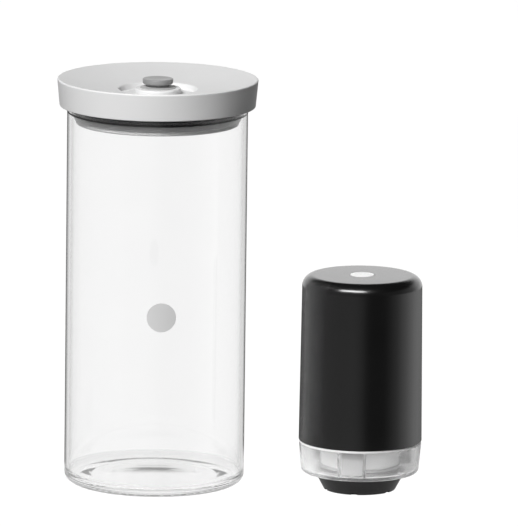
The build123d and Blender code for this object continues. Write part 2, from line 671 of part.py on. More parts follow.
def valve_stem():
    groove_radius = STEM_RADIUS - CLIP_GROOVE_DEPTH
    groove_bottom = CLIP_TOP - CLIP_THICKNESS - FIT_GAP
    stem_top = KNOB_BOTTOM + STEM_TOP_LENGTH
    outline = [
        (0, groove_bottom - STEM_TAIL_LENGTH),
        (STEM_RADIUS, groove_bottom - STEM_TAIL_LENGTH),
        (STEM_RADIUS, groove_bottom),
        (groove_radius, groove_bottom),
        (groove_radius, CLIP_TOP + FIT_GAP),
        (STEM_RADIUS, CLIP_TOP + FIT_GAP),
        (STEM_RADIUS, VALVE_DISC_TOP),
        (STEM_NECK_RADIUS, VALVE_DISC_TOP),
        (STEM_NECK_RADIUS, KNOB_BOTTOM),
        (STEM_RADIUS, KNOB_BOTTOM),
        (STEM_RADIUS, stem_top),
        (0, stem_top),
    ]
    return turned(outline)


def valve_clip():
    inner = STEM_RADIUS - CLIP_GROOVE_DEPTH + FIT_GAP
    bottom = CLIP_TOP - CLIP_THICKNESS
    slot = block(CLIP_RADIUS, CLIP_SLOT_WIDTH, bottom, CLIP_TOP, CLIP_RADIUS / 2)
    return ring(inner, CLIP_RADIUS, bottom, CLIP_TOP) - slot


def valve_knob():
    top = KNOB_BOTTOM + KNOB_HEIGHT
    bore = STEM_RADIUS + FIT_GAP
    bore_top = KNOB_BOTTOM + STEM_TOP_LENGTH + FIT_GAP
    dish_radius = KNOB_RADIUS - KNOB_DISH_INSET

    ball_radius = (dish_radius**2 + KNOB_DISH_DEPTH**2) / (2 * KNOB_DISH_DEPTH)

    def top_height(radius):
        return top - KNOB_DISH_DEPTH + ball_radius - sqrt(ball_radius**2 - radius**2)

    dish = hollow_arc(dish_radius, 0, top_height)
    sides = Polyline(
        (0, top_height(0)),
        (0, bore_top),
        (bore, bore_top),
        (bore, KNOB_BOTTOM),
        (KNOB_RADIUS, KNOB_BOTTOM),
        (KNOB_RADIUS, top),
        (dish_radius, top),
    )
    rounds = [((KNOB_RADIUS, KNOB_BOTTOM), KNOB_ROUND), ((KNOB_RADIUS, top), KNOB_ROUND)]
    return turned_face(face_of(dish, sides, rounds=rounds))


def shell_radius(height):
    """Outer radius of the pump's shell, which narrows a little towards the top."""
    share = (height - SHELL_BOTTOM) / (PUMP_HEIGHT - SHELL_BOTTOM)
    return SHELL_RADIUS - SHELL_TAPER * share


def port_plane(y):
    """The upright plane at the back of the pump that the charging socket is drawn on."""
    height = BOARD_TOP + PORT_HEIGHT / 2
    return Plane(origin=(0, y, height), x_dir=(1, 0, 0), z_dir=(0, 1, 0))


def pump_shell():
    top_radius = SHELL_RADIUS - SHELL_TAPER
    hole = BUTTON_RADIUS + BUTTON_CLEARANCE
    ceiling = PUMP_HEIGHT - SHELL_WALL
    outline = [
        (SHELL_RADIUS - SHELL_WALL, SHELL_BOTTOM),
        (SHELL_RADIUS, SHELL_BOTTOM),
        (top_radius, PUMP_HEIGHT),
        (hole, PUMP_HEIGHT),
        (hole, ceiling),
        (top_radius - SHELL_WALL, ceiling),
    ]
    rounds = [
        ((SHELL_RADIUS, SHELL_BOTTOM), SHELL_FOOT_ROUND),
        ((top_radius, PUMP_HEIGHT), SHELL_SHOULDER_ROUND),
        ((top_radius - SHELL_WALL, ceiling), SHELL_SHOULDER_ROUND - SHELL_WALL),
    ]
    shell = turned(outline, rounds)
    slot = SlotOverall(PORT_WIDTH + 2 * PORT_SLOT_CLEARANCE, PORT_HEIGHT + 2 * PORT_SLOT_CLEARANCE)
    return shell - extrude(port_plane(BOARD_RADIUS) * slot, amount=SHELL_RADIUS)


def power_button():
    flange_top = PUMP_HEIGHT - SHELL_WALL - STILL_GAP
    flange_bottom = flange_top - BUTTON_FLANGE
    post_bottom = BOARD_TOP + SWITCH_HEIGHT + PLUNGER_PROUD
    top = PUMP_HEIGHT + BUTTON_PROUD
    outline = [
        (0, post_bottom),
        (BUTTON_POST_RADIUS, post_bottom),
        (BUTTON_POST_RADIUS, flange_bottom),
        (BUTTON_FLANGE_RADIUS, flange_bottom),
        (BUTTON_FLANGE_RADIUS, flange_top),
        (BUTTON_RADIUS, flange_top),
        (BUTTON_RADIUS, top),
        (0, top),
    ]
    return turned(outline, [((BUTTON_RADIUS, top), BUTTON_ROUND)])


def switch_body():
    well_radius = PLUNGER_RADIUS + PLUNGER_CLEARANCE
    top = BOARD_TOP + SWITCH_HEIGHT
    well_bottom = top - PLUNGER_DEPTH - BUTTON_TRAVEL - PLUNGER_WELL_SPARE
    return block(SWITCH_SIDE, SWITCH_SIDE, BOARD_TOP, top) - rod(well_radius, well_bottom, top)


def switch_plunger():
    top = BOARD_TOP + SWITCH_HEIGHT
    return rod(PLUNGER_RADIUS, top - PLUNGER_DEPTH, top + PLUNGER_PROUD)


def control_board():
    board = ring(0, BOARD_RADIUS, BOARD_BOTTOM, BOARD_TOP)
    hole = rod(BOARD_SCREW_RADIUS + FIT_GAP, BOARD_BOTTOM, BOARD_TOP, BOARD_SCREW_CIRCLE_RADIUS)
    return board - around(hole, BOARD_SCREW_COUNT, BOARD_SCREW_ANGLE)


def board_chips():
    chip_top = BOARD_TOP + CHIP_HEIGHT
    chip = block(CHIP_LENGTH, CHIP_WIDTH, BOARD_TOP, chip_top, CHIP_CIRCLE_RADIUS)
    return Compound([Rot(0, 0, angle) * chip for angle in CHIP_ANGLES])


def charge_port():
    port_height = BOARD_TOP + PORT_HEIGHT / 2
    mouth = shell_radius(port_height) - SHELL_WALL - PORT_SHELL_GAP
    back = port_plane(mouth - PORT_LENGTH)
    case = extrude(back * SlotOverall(PORT_WIDTH, PORT_HEIGHT), amount=PORT_LENGTH)
    inner = SlotOverall(PORT_WIDTH - 2 * PORT_WALL, PORT_HEIGHT - 2 * PORT_WALL)
    hollow = extrude(port_plane(mouth - PORT_LENGTH + PORT_TONGUE_INSET) * inner, amount=PORT_LENGTH)
    tongue_width = PORT_WIDTH - 2 * PORT_TONGUE_INSET - 2 * PORT_WALL
    tongue = Rectangle(tongue_width, PORT_TONGUE_HEIGHT)
    return case - hollow + extrude(back * tongue, amount=PORT_LENGTH - PORT_TONGUE_INSET)


def board_screws():
    one = screw(BOARD_SCREW_RADIUS, BOARD_SCREW_HEAD_RADIUS, BOARD_SCREW_HEAD_HEIGHT, BOARD_SCREW_LENGTH)
    placed = Pos(BOARD_SCREW_CIRCLE_RADIUS, 0, BOARD_TOP) * Rot(180, 0, 0) * one
    return Compound(around(placed, BOARD_SCREW_COUNT, BOARD_SCREW_ANGLE))


def frame_bowl():
    """The frame's flange, floor, rim with its seal groove, and the core over the cup."""
    core_inner = CORE_RADIUS - CORE_WALL
    rim_top = SHELL_BOTTOM + FRAME_RIM_HEIGHT
    rim_inner = FRAME_RIM_RADIUS - FRAME_RIM_WALL
    seal_bottom = SHELL_BOTTOM + FRAME_RIM_HEIGHT / 2 - SEAL_RING_THICKNESS / 2
    seal_top = seal_bottom + SEAL_RING_THICKNESS
    groove_radius = seal_ring_inner() - FIT_GAP
    core_floor_top = CORE_BOTTOM + CORE_FLOOR
    outline = [
        (BARB_BORE_RADIUS, CORE_BOTTOM),
        (CORE_RADIUS - CORE_DRAFT, CORE_BOTTOM),
        (CORE_RADIUS, FLANGE_BOTTOM),
        (FLANGE_RADIUS, FLANGE_BOTTOM),
        (FLANGE_RADIUS, SHELL_BOTTOM),
        (FRAME_RIM_RADIUS, SHELL_BOTTOM),
        (FRAME_RIM_RADIUS, seal_bottom),
        (groove_radius, seal_bottom),
        (groove_radius, seal_top),
        (FRAME_RIM_RADIUS, seal_top),
        (FRAME_RIM_RADIUS, rim_top),
        (rim_inner, rim_top),
        (rim_inner, FRAME_FLOOR_TOP),
        (core_inner, FRAME_FLOOR_TOP),
        (core_inner - CORE_DRAFT, core_floor_top),
        (BARB_RADIUS, core_floor_top),
        (BARB_RADIUS, core_floor_top + BARB_LENGTH),
        (BARB_BORE_RADIUS, core_floor_top + BARB_LENGTH),
    ]
    rounds = [
        ((FLANGE_RADIUS, FLANGE_BOTTOM), FLANGE_ROUND),
        ((FLANGE_RADIUS, SHELL_BOTTOM), FLANGE_ROUND),
    ]
    return turned(outline, rounds)


def clip_ring(radius, wall, bottom, x, open_angle):
    """A spring clip round a cell or a motor, open on one side and joined to the spine."""
    inner = radius + STILL_GAP
    half_angle = 180 - CLIP_OPEN_HALF_ANGLE
    sector = arc_ring(inner, inner + wall, bottom, bottom + CLIP_HEIGHT, open_angle + 180, half_angle)
    return Pos(x, 0, 0) * sector


def inner_frame():
    spine_half = sqrt(FRAME_RIM_RADIUS**2 - SPINE_OFFSET**2) - FRAME_RIM_WALL - SPINE_SIDE_GAP / 2
    tray_bottom = BOARD_BOTTOM - TRAY_THICKNESS
    spine = block(SPINE_THICKNESS, 2 * spine_half, FRAME_FLOOR_TOP, BOARD_BOTTOM, SPINE_OFFSET)
    tray = ring(BOARD_RADIUS - TRAY_WIDTH, BOARD_RADIUS, tray_bottom, BOARD_BOTTOM)
    motor_wall = SPINE_LEFT - MOTOR_X - MOTOR_RADIUS - STILL_GAP + CLIP_EMBED
    motor_clip_bottom = BRACKET_TOP_HEIGHT + MOTOR_LENGTH / 2 - CLIP_HEIGHT / 2
    shelf_x = (SPINE_OFFSET + BATTERY_X) / 2
    shelf_length = BATTERY_X - SPINE_OFFSET
    shelf_bottom = BATTERY_BOTTOM - TRAY_THICKNESS
    frame = frame_bowl() + spine + tray
    frame = frame + clip_ring(MOTOR_RADIUS, motor_wall, motor_clip_bottom, MOTOR_X, 180)
    for share in BATTERY_CLIP_SHARES:
        clip_bottom = BATTERY_BOTTOM + share * BATTERY_LENGTH - CLIP_HEIGHT / 2
        frame = frame + clip_ring(BATTERY_RADIUS, CLIP_WALL, clip_bottom, BATTERY_X, 0)
    frame = frame + block(shelf_length, BATTERY_RADIUS, shelf_bottom, BATTERY_BOTTOM, shelf_x)
    pilot = rod(BOARD_SCREW_RADIUS + FIT_GAP, tray_bottom, BOARD_BOTTOM, BOARD_SCREW_CIRCLE_RADIUS)
    return frame - around(pilot, BOARD_SCREW_COUNT, BOARD_SCREW_ANGLE)


def seal_ring_inner():
    return SHELL_RADIUS - SHELL_WALL - SEAL_RING_SQUEEZE_GAP - SEAL_RING_THICKNESS


def shell_seal():
    inner = seal_ring_inner()
    outer = inner + SEAL_RING_THICKNESS
    bottom = SHELL_BOTTOM + FRAME_RIM_HEIGHT / 2 - SEAL_RING_THICKNESS / 2 + FIT_GAP
    top = bottom + SEAL_RING_THICKNESS - 2 * FIT_GAP
    outline = [
        (inner, bottom),
        (outer - SEAL_RING_BEVEL, bottom),
        (outer, bottom + SEAL_RING_BEVEL),
        (outer, top - SEAL_RING_BEVEL),
        (outer - SEAL_RING_BEVEL, top),
        (inner, top),
    ]
    return turned(outline)


def battery_cell():
    top = BATTERY_BOTTOM + BATTERY_LENGTH
    outline = [
        (0, BATTERY_BOTTOM),
        (BATTERY_RADIUS - BATTERY_BEVEL, BATTERY_BOTTOM),
        (BATTERY_RADIUS, BATTERY_BOTTOM + BATTERY_BEVEL),
        (BATTERY_RADIUS, top - BATTERY_BEVEL),
        (BATTERY_RADIUS - BATTERY_BEVEL, top),
        (BATTERY_CAP_RADIUS, top),
        (BATTERY_CAP_RADIUS, top + BATTERY_CAP_HEIGHT),
        (0, top + BATTERY_CAP_HEIGHT),
    ]
    return Pos(BATTERY_X, 0, 0) * turned(outline)


def motor_can():
    inner = MOTOR_RADIUS - MOTOR_CAN_WALL
    bore = SHAFT_RADIUS + SHAFT_CLEARANCE
    bottom = BRACKET_TOP_HEIGHT
    outline = [
        (bore, bottom - MOTOR_NOSE_HEIGHT),
        (MOTOR_NOSE_RADIUS, bottom - MOTOR_NOSE_HEIGHT),
        (MOTOR_NOSE_RADIUS, bottom),
        (MOTOR_RADIUS, bottom),
        (MOTOR_RADIUS, MOTOR_TOP),
        (inner, MOTOR_TOP),
        (inner, bottom + MOTOR_CAN_WALL),
        (bore, bottom + MOTOR_CAN_WALL),
    ]
    can = turned(outline, [((MOTOR_RADIUS, bottom), MOTOR_CAN_WALL)])
    hole = rod(MOTOR_SCREW_RADIUS + FIT_GAP, bottom, bottom + MOTOR_CAN_WALL, MOTOR_SCREW_CIRCLE_RADIUS)
    return Pos(MOTOR_X, 0, 0) * (can - around(hole, 2, 90))


def motor_cap():
    bore = SHAFT_RADIUS + SHAFT_CLEARANCE
    inner = MOTOR_RADIUS - MOTOR_CAN_WALL - FIT_GAP
    cap_top = MOTOR_TOP + MOTOR_CAP_THICKNESS / 2
    plug_bottom = MOTOR_TOP - MOTOR_CAP_THICKNESS / 2
    outline = [
        (bore, plug_bottom),
        (inner, plug_bottom),
        (inner, MOTOR_TOP),
        (MOTOR_RADIUS, MOTOR_TOP),
        (MOTOR_RADIUS, cap_top),
        (MOTOR_CAP_HUB_RADIUS, cap_top),
        (MOTOR_CAP_HUB_RADIUS, cap_top + MOTOR_CAP_HUB_HEIGHT),
        (bore, cap_top + MOTOR_CAP_HUB_HEIGHT),
    ]
    return Pos(MOTOR_X, 0, 0) * turned(outline)


def motor_terminals():
    cap_top = MOTOR_TOP + MOTOR_CAP_THICKNESS / 2
    tab_x = MOTOR_RADIUS - TERMINAL_INSET
    tab = block(TERMINAL_THICKNESS, TERMINAL_WIDTH, cap_top, cap_top + TERMINAL_HEIGHT, tab_x)
    return Compound([Pos(MOTOR_X, 0, 0) * turned_tab for turned_tab in around(tab, 2)])


def motor_magnets():
    outer = MOTOR_RADIUS - MOTOR_CAN_WALL - MAGNET_FIT_GAP
    bottom = BRACKET_TOP_HEIGHT + MAGNET_END_GAP
    top = MOTOR_TOP - MAGNET_END_GAP
    magnet = arc_ring(outer - MAGNET_THICKNESS, outer, bottom, top, 0, MAGNET_HALF_ANGLE)
    return Compound([Pos(MOTOR_X, 0, 0) * one for one in around(magnet, 2)])


def motor_rotor():
    """Laminated rotor with a winding window in each slot, and the commutator above it."""
    magnet_inner = MOTOR_RADIUS - MOTOR_CAN_WALL - MAGNET_FIT_GAP - MAGNET_THICKNESS
    radius = magnet_inner - ROTOR_AIR_GAP
    bore = SHAFT_RADIUS + FIT_GAP
    length = MOTOR_LENGTH * ROTOR_LENGTH_SHARE
    commutator_length = MOTOR_LENGTH * COMMUTATOR_LENGTH_SHARE
    bottom = BRACKET_TOP_HEIGHT + (MOTOR_LENGTH - length - commutator_length) / 2
    top = bottom + length
    window_radius = radius * ROTOR_WINDOW_SHARE
    window_x = radius - window_radius - ROTOR_SLOT_WIDTH
    slot = block(radius, ROTOR_SLOT_WIDTH, bottom, top, window_x + radius / 2)
    window = rod(window_radius, bottom, top, window_x)
    rotor = ring(bore, radius, bottom, top) - around(slot + window, ROTOR_POLE_COUNT)
    rotor = rotor + ring(bore, COMMUTATOR_RADIUS, top, top + commutator_length)
    return Pos(MOTOR_X, 0, 0) * rotor


def motor_shaft():
    top = MOTOR_TOP + MOTOR_CAP_THICKNESS / 2 + MOTOR_CAP_HUB_HEIGHT
    return rod(SHAFT_RADIUS, SHAFT_BOTTOM, top, MOTOR_X)


def drive_hub():
    """The hub on the motor's shaft, with the off-centre socket that leads the wobble pin."""
    socket_radius = WOBBLE_PIN_RADIUS + 2 * HUB_ECCENTRICITY + HUB_SOCKET_CLEARANCE
    hub = ring(0, HUB_RADIUS, HUB_BOTTOM, HUB_TOP)
    hub = hub - rod(SHAFT_RADIUS + FIT_GAP, SHAFT_BOTTOM - FIT_GAP, HUB_TOP)
    hub = hub - rod(socket_radius, HUB_BOTTOM, HUB_BOTTOM + HUB_SOCKET_DEPTH, HUB_ECCENTRICITY)
    return Pos(MOTOR_X, 0, 0) * hub


def wobble_plate():
    pad = rod(WOBBLE_PAD_RADIUS, WOBBLE_BOTTOM, WOBBLE_TOP)
    arm_middle = CYLINDER_CIRCLE_RADIUS / 2
    arm = block(CYLINDER_CIRCLE_RADIUS, WOBBLE_PAD_RADIUS, WOBBLE_BOTTOM, WOBBLE_TOP, arm_middle)
    plate = rod(WOBBLE_HUB_RADIUS, WOBBLE_BOTTOM, WOBBLE_TOP)
    plate = plate + at_cylinders(pad) + around(arm, CYLINDER_COUNT)
    pin = rod(WOBBLE_PIN_RADIUS, WOBBLE_TOP, WOBBLE_TOP + WOBBLE_PIN_LENGTH, HUB_ECCENTRICITY)
    return Pos(MOTOR_X, 0, 0) * (plate + pin)


def pump_plate(bottom, top):
    """A square plate with round corners, as every layer of the diaphragm pump has."""
    return Pos(0, 0, bottom) * extrude(
        RectangleRounded(HEAD_SIDE, HEAD_SIDE, HEAD_CORNER_RADIUS), amount=top - bottom
    )


def at_corners(piece):
    """Copies of a piece at the diaphragm pump's four screws."""
    sides = (-SCREW_CORNER, SCREW_CORNER)
    return [Pos(x, y, 0) * piece for x in sides for y in sides]


def screw_holes(bottom, top):
    return at_corners(rod(PUMP_SCREW_RADIUS + STILL_GAP, bottom, top))


def at_cylinders(piece):
    """Copies of a piece at the diaphragm pump's cylinders."""
    return around(Pos(CYLINDER_CIRCLE_RADIUS, 0, 0) * piece, CYLINDER_COUNT)


def pump_bracket():
    outer = pump_plate(SHEET_TOP, BRACKET_TOP_HEIGHT)
    inner_side = HEAD_SIDE - 2 * BRACKET_WALL
    ceiling = BRACKET_TOP_HEIGHT - BRACKET_TOP
    hollow = block(inner_side, inner_side, SHEET_TOP, ceiling)
    window_bottom = (SHEET_TOP + ceiling - BRACKET_WINDOW_HEIGHT) / 2
    window = block(BRACKET_WINDOW_WIDTH, HEAD_SIDE, window_bottom, window_bottom + BRACKET_WINDOW_HEIGHT)
    pillars = at_corners(rod(CORNER_PILLAR_RADIUS, SHEET_TOP, ceiling))
    bracket = outer - hollow - window + pillars
    bracket = bracket - at_corners(rod(PUMP_SCREW_RADIUS + FIT_GAP, SHEET_TOP, SHEET_TOP + PUMP_SCREW_BITE))
    bracket = bracket - rod(MOTOR_NOSE_RADIUS + STILL_GAP, ceiling, BRACKET_TOP_HEIGHT)
    screw_hole = rod(MOTOR_SCREW_RADIUS + FIT_GAP, ceiling, BRACKET_TOP_HEIGHT, MOTOR_SCREW_CIRCLE_RADIUS)
    return Pos(MOTOR_X, 0, 0) * (bracket - around(screw_hole, 2, 90))


def motor_screws():
    length = BRACKET_TOP + MOTOR_SCREW_BITE
    one = screw(MOTOR_SCREW_RADIUS, MOTOR_SCREW_HEAD_RADIUS, MOTOR_SCREW_HEAD_HEIGHT, length)
    placed = Pos(MOTOR_SCREW_CIRCLE_RADIUS, 0, BRACKET_TOP_HEIGHT - BRACKET_TOP) * one
    return Compound([Pos(MOTOR_X, 0, 0) * each for each in around(placed, 2, 90)])


def diaphragm():
    inner = DIAPHRAGM_CUP_RADIUS - DIAPHRAGM_CUP_WALL
    roof = WOBBLE_BOTTOM - DIAPHRAGM_CUP_WALL
    cup = rod(DIAPHRAGM_CUP_RADIUS, SHEET_TOP, WOBBLE_BOTTOM)
    sheet = pump_plate(PLATE_TOP, SHEET_TOP) + at_cylinders(cup)
    sheet = sheet - at_cylinders(rod(inner, PLATE_TOP, roof))
    return Pos(MOTOR_X, 0, 0) * (sheet - screw_holes(PLATE_TOP, SHEET_TOP))


def valve_plate():
    plate = pump_plate(HEAD_TOP, PLATE_TOP) - screw_holes(HEAD_TOP, PLATE_TOP)
    return Pos(MOTOR_X, 0, 0) * (plate - at_cylinders(rod(PLATE_PORT_RADIUS, HEAD_TOP, PLATE_TOP)))


def check_flaps():
    flap = rod(FLAP_RADIUS, HEAD_TOP - FLAP_THICKNESS, HEAD_TOP)
    return Compound([Pos(MOTOR_X, 0, 0) * one for one in at_cylinders(flap)])


def pump_head():
    pocket_bottom = HEAD_TOP - FLAP_THICKNESS - FLAP_POCKET_CLEARANCE
    nozzle_bottom = HEAD_BOTTOM - HEAD_NOZZLE_LENGTH
    head = pump_plate(HEAD_BOTTOM, HEAD_TOP) + rod(BARB_RADIUS, nozzle_bottom, HEAD_BOTTOM)
    head = head - rod(BARB_BORE_RADIUS, nozzle_bottom, HEAD_TOP)
    head = head - at_cylinders(rod(FLAP_RADIUS + FLAP_POCKET_CLEARANCE, pocket_bottom, HEAD_TOP))
    return Pos(MOTOR_X, 0, 0) * (head - screw_holes(HEAD_BOTTOM, HEAD_TOP))


def pump_screws():
    length = SHEET_TOP - HEAD_BOTTOM + PUMP_SCREW_BITE - STILL_GAP
    one = screw(PUMP_SCREW_RADIUS, PUMP_SCREW_HEAD_RADIUS, PUMP_SCREW_HEAD_HEIGHT, length)
    return Compound(at_corners(Pos(MOTOR_X, 0, HEAD_BOTTOM) * one))


def inlet_tube():
    """Soft tube from the frame's barb to the pump head's nozzle, with two easy bends."""
    low = CORE_BOTTOM + CORE_FLOOR + TUBE_END_GAP
    high = HEAD_BOTTOM - TUBE_END_GAP
    points = [
        (0, 0, low),
        (0, 0, low + TUBE_BOTTOM_RUN),
        (MOTOR_X, 0, high - TUBE_TOP_RUN),
        (MOTOR_X, 0, high),
    ]
    path = FilletPolyline(*points, radius=TUBE_BEND_RADIUS)
    bore = BARB_RADIUS + FIT_GAP
    section = Plane(origin=(0, 0, low), z_dir=(0, 0, 1)) * (Circle(bore + TUBE_WALL) - Circle(bore))
    return sweep(section, path=path)


def clear_base():
    outline = [
        (CUP_NECK_RADIUS + STILL_GAP, BASE_BOTTOM),
        (BASE_FOOT_RADIUS, BASE_BOTTOM),
        (FLANGE_RADIUS, FLANGE_BOTTOM),
        (FLANGE_RADIUS - BASE_WALL, FLANGE_BOTTOM),
        (BASE_INNER_FOOT_RADIUS, BASE_FLOOR_TOP),
        (CUP_NECK_RADIUS + STILL_GAP, BASE_FLOOR_TOP),
    ]
    rounds = [
        ((BASE_FOOT_RADIUS, BASE_BOTTOM), BASE_ROUND),
        ((BASE_INNER_FOOT_RADIUS, BASE_FLOOR_TOP), BASE_INNER_ROUND),
    ]
    base = turned(outline, rounds)
    rib_start = CORE_RADIUS + RIB_GAP_TO_CORE
    rib_length = BASE_INNER_FOOT_RADIUS + BASE_WALL / 2 - rib_start
    rib_top = FLANGE_BOTTOM - RIB_BELOW_TOP
    rib = block(rib_length, RIB_THICKNESS, BASE_FLOOR_TOP, rib_top, rib_start + rib_length / 2)
    for side in (-RIB_HALF_ANGLE, RIB_HALF_ANGLE):
        base = base + around(rib, RIB_PAIR_COUNT, FRONT_ANGLE + side)
    catch_x = BASE_INNER_FOOT_RADIUS - CATCH_LENGTH / 2
    catch = block(CATCH_LENGTH, CATCH_WIDTH, BASE_FLOOR_TOP, BASE_FLOOR_TOP + CATCH_HEIGHT, catch_x)
    return base + around(catch, CATCH_COUNT, FRONT_ANGLE)


def cup_retainer():
    outer = CORE_RADIUS + RIB_GAP_TO_CORE / 2
    arm_outer = BASE_INNER_FOOT_RADIUS - RETAINER_ARM_GAP
    arm_inner = arm_outer - RETAINER_ARM_THICKNESS
    arm_top = FLANGE_BOTTOM - RETAINER_ARM_BELOW_TOP
    retainer = ring(CUP_BORE_RADIUS + CORE_DRAFT, outer, RETAINER_BOTTOM, CORE_BOTTOM)
    for turn in range(RIB_PAIR_COUNT):
        angle = FRONT_ANGLE + 360 * turn / RIB_PAIR_COUNT
        shared = (angle, RETAINER_ARM_HALF_ANGLE)
        retainer = retainer + arc_ring(outer - CORE_DRAFT, arm_outer, RETAINER_BOTTOM, CORE_BOTTOM, *shared)
        retainer = retainer + arc_ring(arm_inner, arm_outer, RETAINER_BOTTOM, arm_top, *shared)
    return retainer


def suction_cup():
    knee = (CUP_TOP_RADIUS - CUP_SKIRT_WALL, CUP_SKIRT_HEIGHT - CUP_NECK_WALL)
    outline = [
        (CUP_BORE_RADIUS, 0),
        (CUP_LIP_RADIUS, 0),
        (CUP_TOP_RADIUS, CUP_SKIRT_HEIGHT),
        (CUP_NECK_RADIUS, CUP_SKIRT_HEIGHT),
        (CUP_NECK_RADIUS, BASE_FLOOR_TOP),
        (CUP_FLANGE_RADIUS, BASE_FLOOR_TOP),
        (CUP_FLANGE_RADIUS, RETAINER_BOTTOM),
        (CUP_BORE_RADIUS, RETAINER_BOTTOM),
        (CUP_BORE_RADIUS, CUP_SKIRT_HEIGHT),
        knee,
    ]
    rounds = [((CUP_LIP_RADIUS, 0), CUP_LIP_ROUND), ((CUP_TOP_RADIUS, CUP_SKIRT_HEIGHT), CUP_LIP_ROUND)]
    cup = turned(outline, rounds)
    notch_x = CUP_LIP_RADIUS - CUP_NOTCH_DEPTH + CUP_LIP_WIDTH / 2
    notch = block(CUP_LIP_WIDTH, CUP_NOTCH_WIDTH, 0, CUP_NOTCH_HEIGHT, notch_x)
    return cup - around(notch, CUP_NOTCH_COUNT, FRONT_ANGLE)


def inlet_filter():
    return ring(0, INLET_FILTER_RADIUS, CORE_BOTTOM - INLET_FILTER_THICKNESS, CORE_BOTTOM)


canister_pieces = {
    "glass_jar": glass_jar,
    "lid_shell": lid_shell,
    "lid_plug": lid_plug,
    "plug_cover": plug_cover,
    "air_filter": air_filter,
    "rim_gasket": rim_gasket,
    "tube_seal": tube_seal,
    "lid_screws": lid_screws,
    "valve_disc": valve_disc,
    "valve_stem": valve_stem,
    "valve_clip": valve_clip,
    "valve_knob": valve_knob,
}
pump_pieces = {
    "pump_shell": pump_shell,
    "power_button": power_button,
    "switch_body": switch_body,
    "switch_plunger": switch_plunger,
    "control_board": control_board,
    "board_chips": board_chips,
    "charge_port": charge_port,
    "board_screws": board_screws,
    "inner_frame": inner_frame,
    "shell_seal": shell_seal,
    "battery_cell": battery_cell,
    "motor_can": motor_can,
    "motor_cap": motor_cap,
    "motor_terminals": motor_terminals,
    "motor_magnets": motor_magnets,
    "motor_rotor": motor_rotor,
    "motor_shaft": motor_shaft,
    "drive_hub": drive_hub,
    "wobble_plate": wobble_plate,
    "pump_bracket": pump_bracket,
    "motor_screws": motor_screws,
    "diaphragm": diaphragm,
    "valve_plate": valve_plate,
    "check_flaps": check_flaps,
    "pump_head": pump_head,
    "pump_screws": pump_screws,
    "inlet_tube": inlet_tube,
    "clear_base": clear_base,
    "cup_retainer": cup_retainer,
    "suction_cup": suction_cup,
    "inlet_filter": inlet_filter,
}

os.makedirs("parts", exist_ok=True)
for node, make in canister_pieces.items():
    export_step(make(), f"parts/{node}.step")
for node, make in pump_pieces.items():
    export_step(Pos(PUMP_X, PUMP_Y, 0) * make(), f"parts/{node}.step")
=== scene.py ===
import math

import bpy
from mathutils import Matrix, Vector


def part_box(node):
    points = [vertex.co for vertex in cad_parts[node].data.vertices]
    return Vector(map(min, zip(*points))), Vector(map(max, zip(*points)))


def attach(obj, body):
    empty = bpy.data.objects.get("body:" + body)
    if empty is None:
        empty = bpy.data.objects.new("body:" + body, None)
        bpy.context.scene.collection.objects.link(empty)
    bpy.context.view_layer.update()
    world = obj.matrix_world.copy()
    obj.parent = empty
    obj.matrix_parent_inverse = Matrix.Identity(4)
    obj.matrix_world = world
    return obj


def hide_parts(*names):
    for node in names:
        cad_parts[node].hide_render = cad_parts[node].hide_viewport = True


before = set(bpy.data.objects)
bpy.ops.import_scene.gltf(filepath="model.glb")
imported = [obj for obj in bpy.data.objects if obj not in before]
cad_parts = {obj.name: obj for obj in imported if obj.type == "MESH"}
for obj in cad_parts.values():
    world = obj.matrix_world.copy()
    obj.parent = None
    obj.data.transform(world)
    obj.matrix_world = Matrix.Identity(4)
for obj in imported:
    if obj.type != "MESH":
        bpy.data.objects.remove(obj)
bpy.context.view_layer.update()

# Vacuum seal canister: a clear jar with its lid, and the black suction pump that stands beside it.
# Lengths are metres, written as a number of millimetres times MM.

MM = 0.001

# The upright axes that the pieces are turned about, as (x, y) in mm
JAR_AXIS = (0, 0)
SHELL_LOW, SHELL_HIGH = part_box("pump_shell")
PUMP_X = (SHELL_LOW[0] + SHELL_HIGH[0]) / 2 / MM
PUMP_Y = (SHELL_LOW[1] + SHELL_HIGH[1]) / 2 / MM
PUMP_AXIS = (PUMP_X, PUMP_Y)

# How many flat steps go once round a piece, and how many make a rounded corner
TURN_STEPS = 192
BUTTON_STEPS = 128
DISC_STEPS = 96
HOLE_STEPS = 32
ROUND_SEGMENTS = 8
# Points closer than this are one, in mm
MERGE_DISTANCE = 0.002
# Faces that meet at less than this look smooth
SMOOTH_ANGLE = math.radians(32)


# Modelling helpers

def deselect_all():
    if bpy.context.object and bpy.context.object.mode != "OBJECT":
        bpy.ops.object.mode_set(mode="OBJECT")
    bpy.ops.object.select_all(action="DESELECT")


def take(piece):
    deselect_all()
    piece.select_set(True)
    bpy.context.view_layer.objects.active = piece


def settle(piece):
    """Puts the piece's place into its mesh."""
    take(piece)
    bpy.ops.object.transform_apply(location=True, rotation=True, scale=True)


def finish_with(piece, kind, **settings):
    """Adds a modifier and applies it."""
    take(piece)
    modifier = piece.modifiers.new(kind.title(), kind)
    for name, value in settings.items():
        setattr(modifier, name, value)
    bpy.ops.object.modifier_apply(modifier=modifier.name)


def smooth(piece, angle=SMOOTH_ANGLE):
    take(piece)
    bpy.ops.object.shade_smooth_by_angle(angle=angle)
    finish_with(piece, "WEIGHTED_NORMAL", keep_sharp=True, weight=100)


def select_nearest(piece, places):
    """In edit mode, selects only the vertices nearest to the places."""
    bpy.ops.mesh.select_all(action="DESELECT")
    bpy.ops.object.mode_set(mode="OBJECT")
    for place in places:
        nearest = min(piece.data.vertices, key=lambda vertex: (vertex.co - place).length)
        nearest.select = True
    bpy.ops.object.mode_set(mode="EDIT")


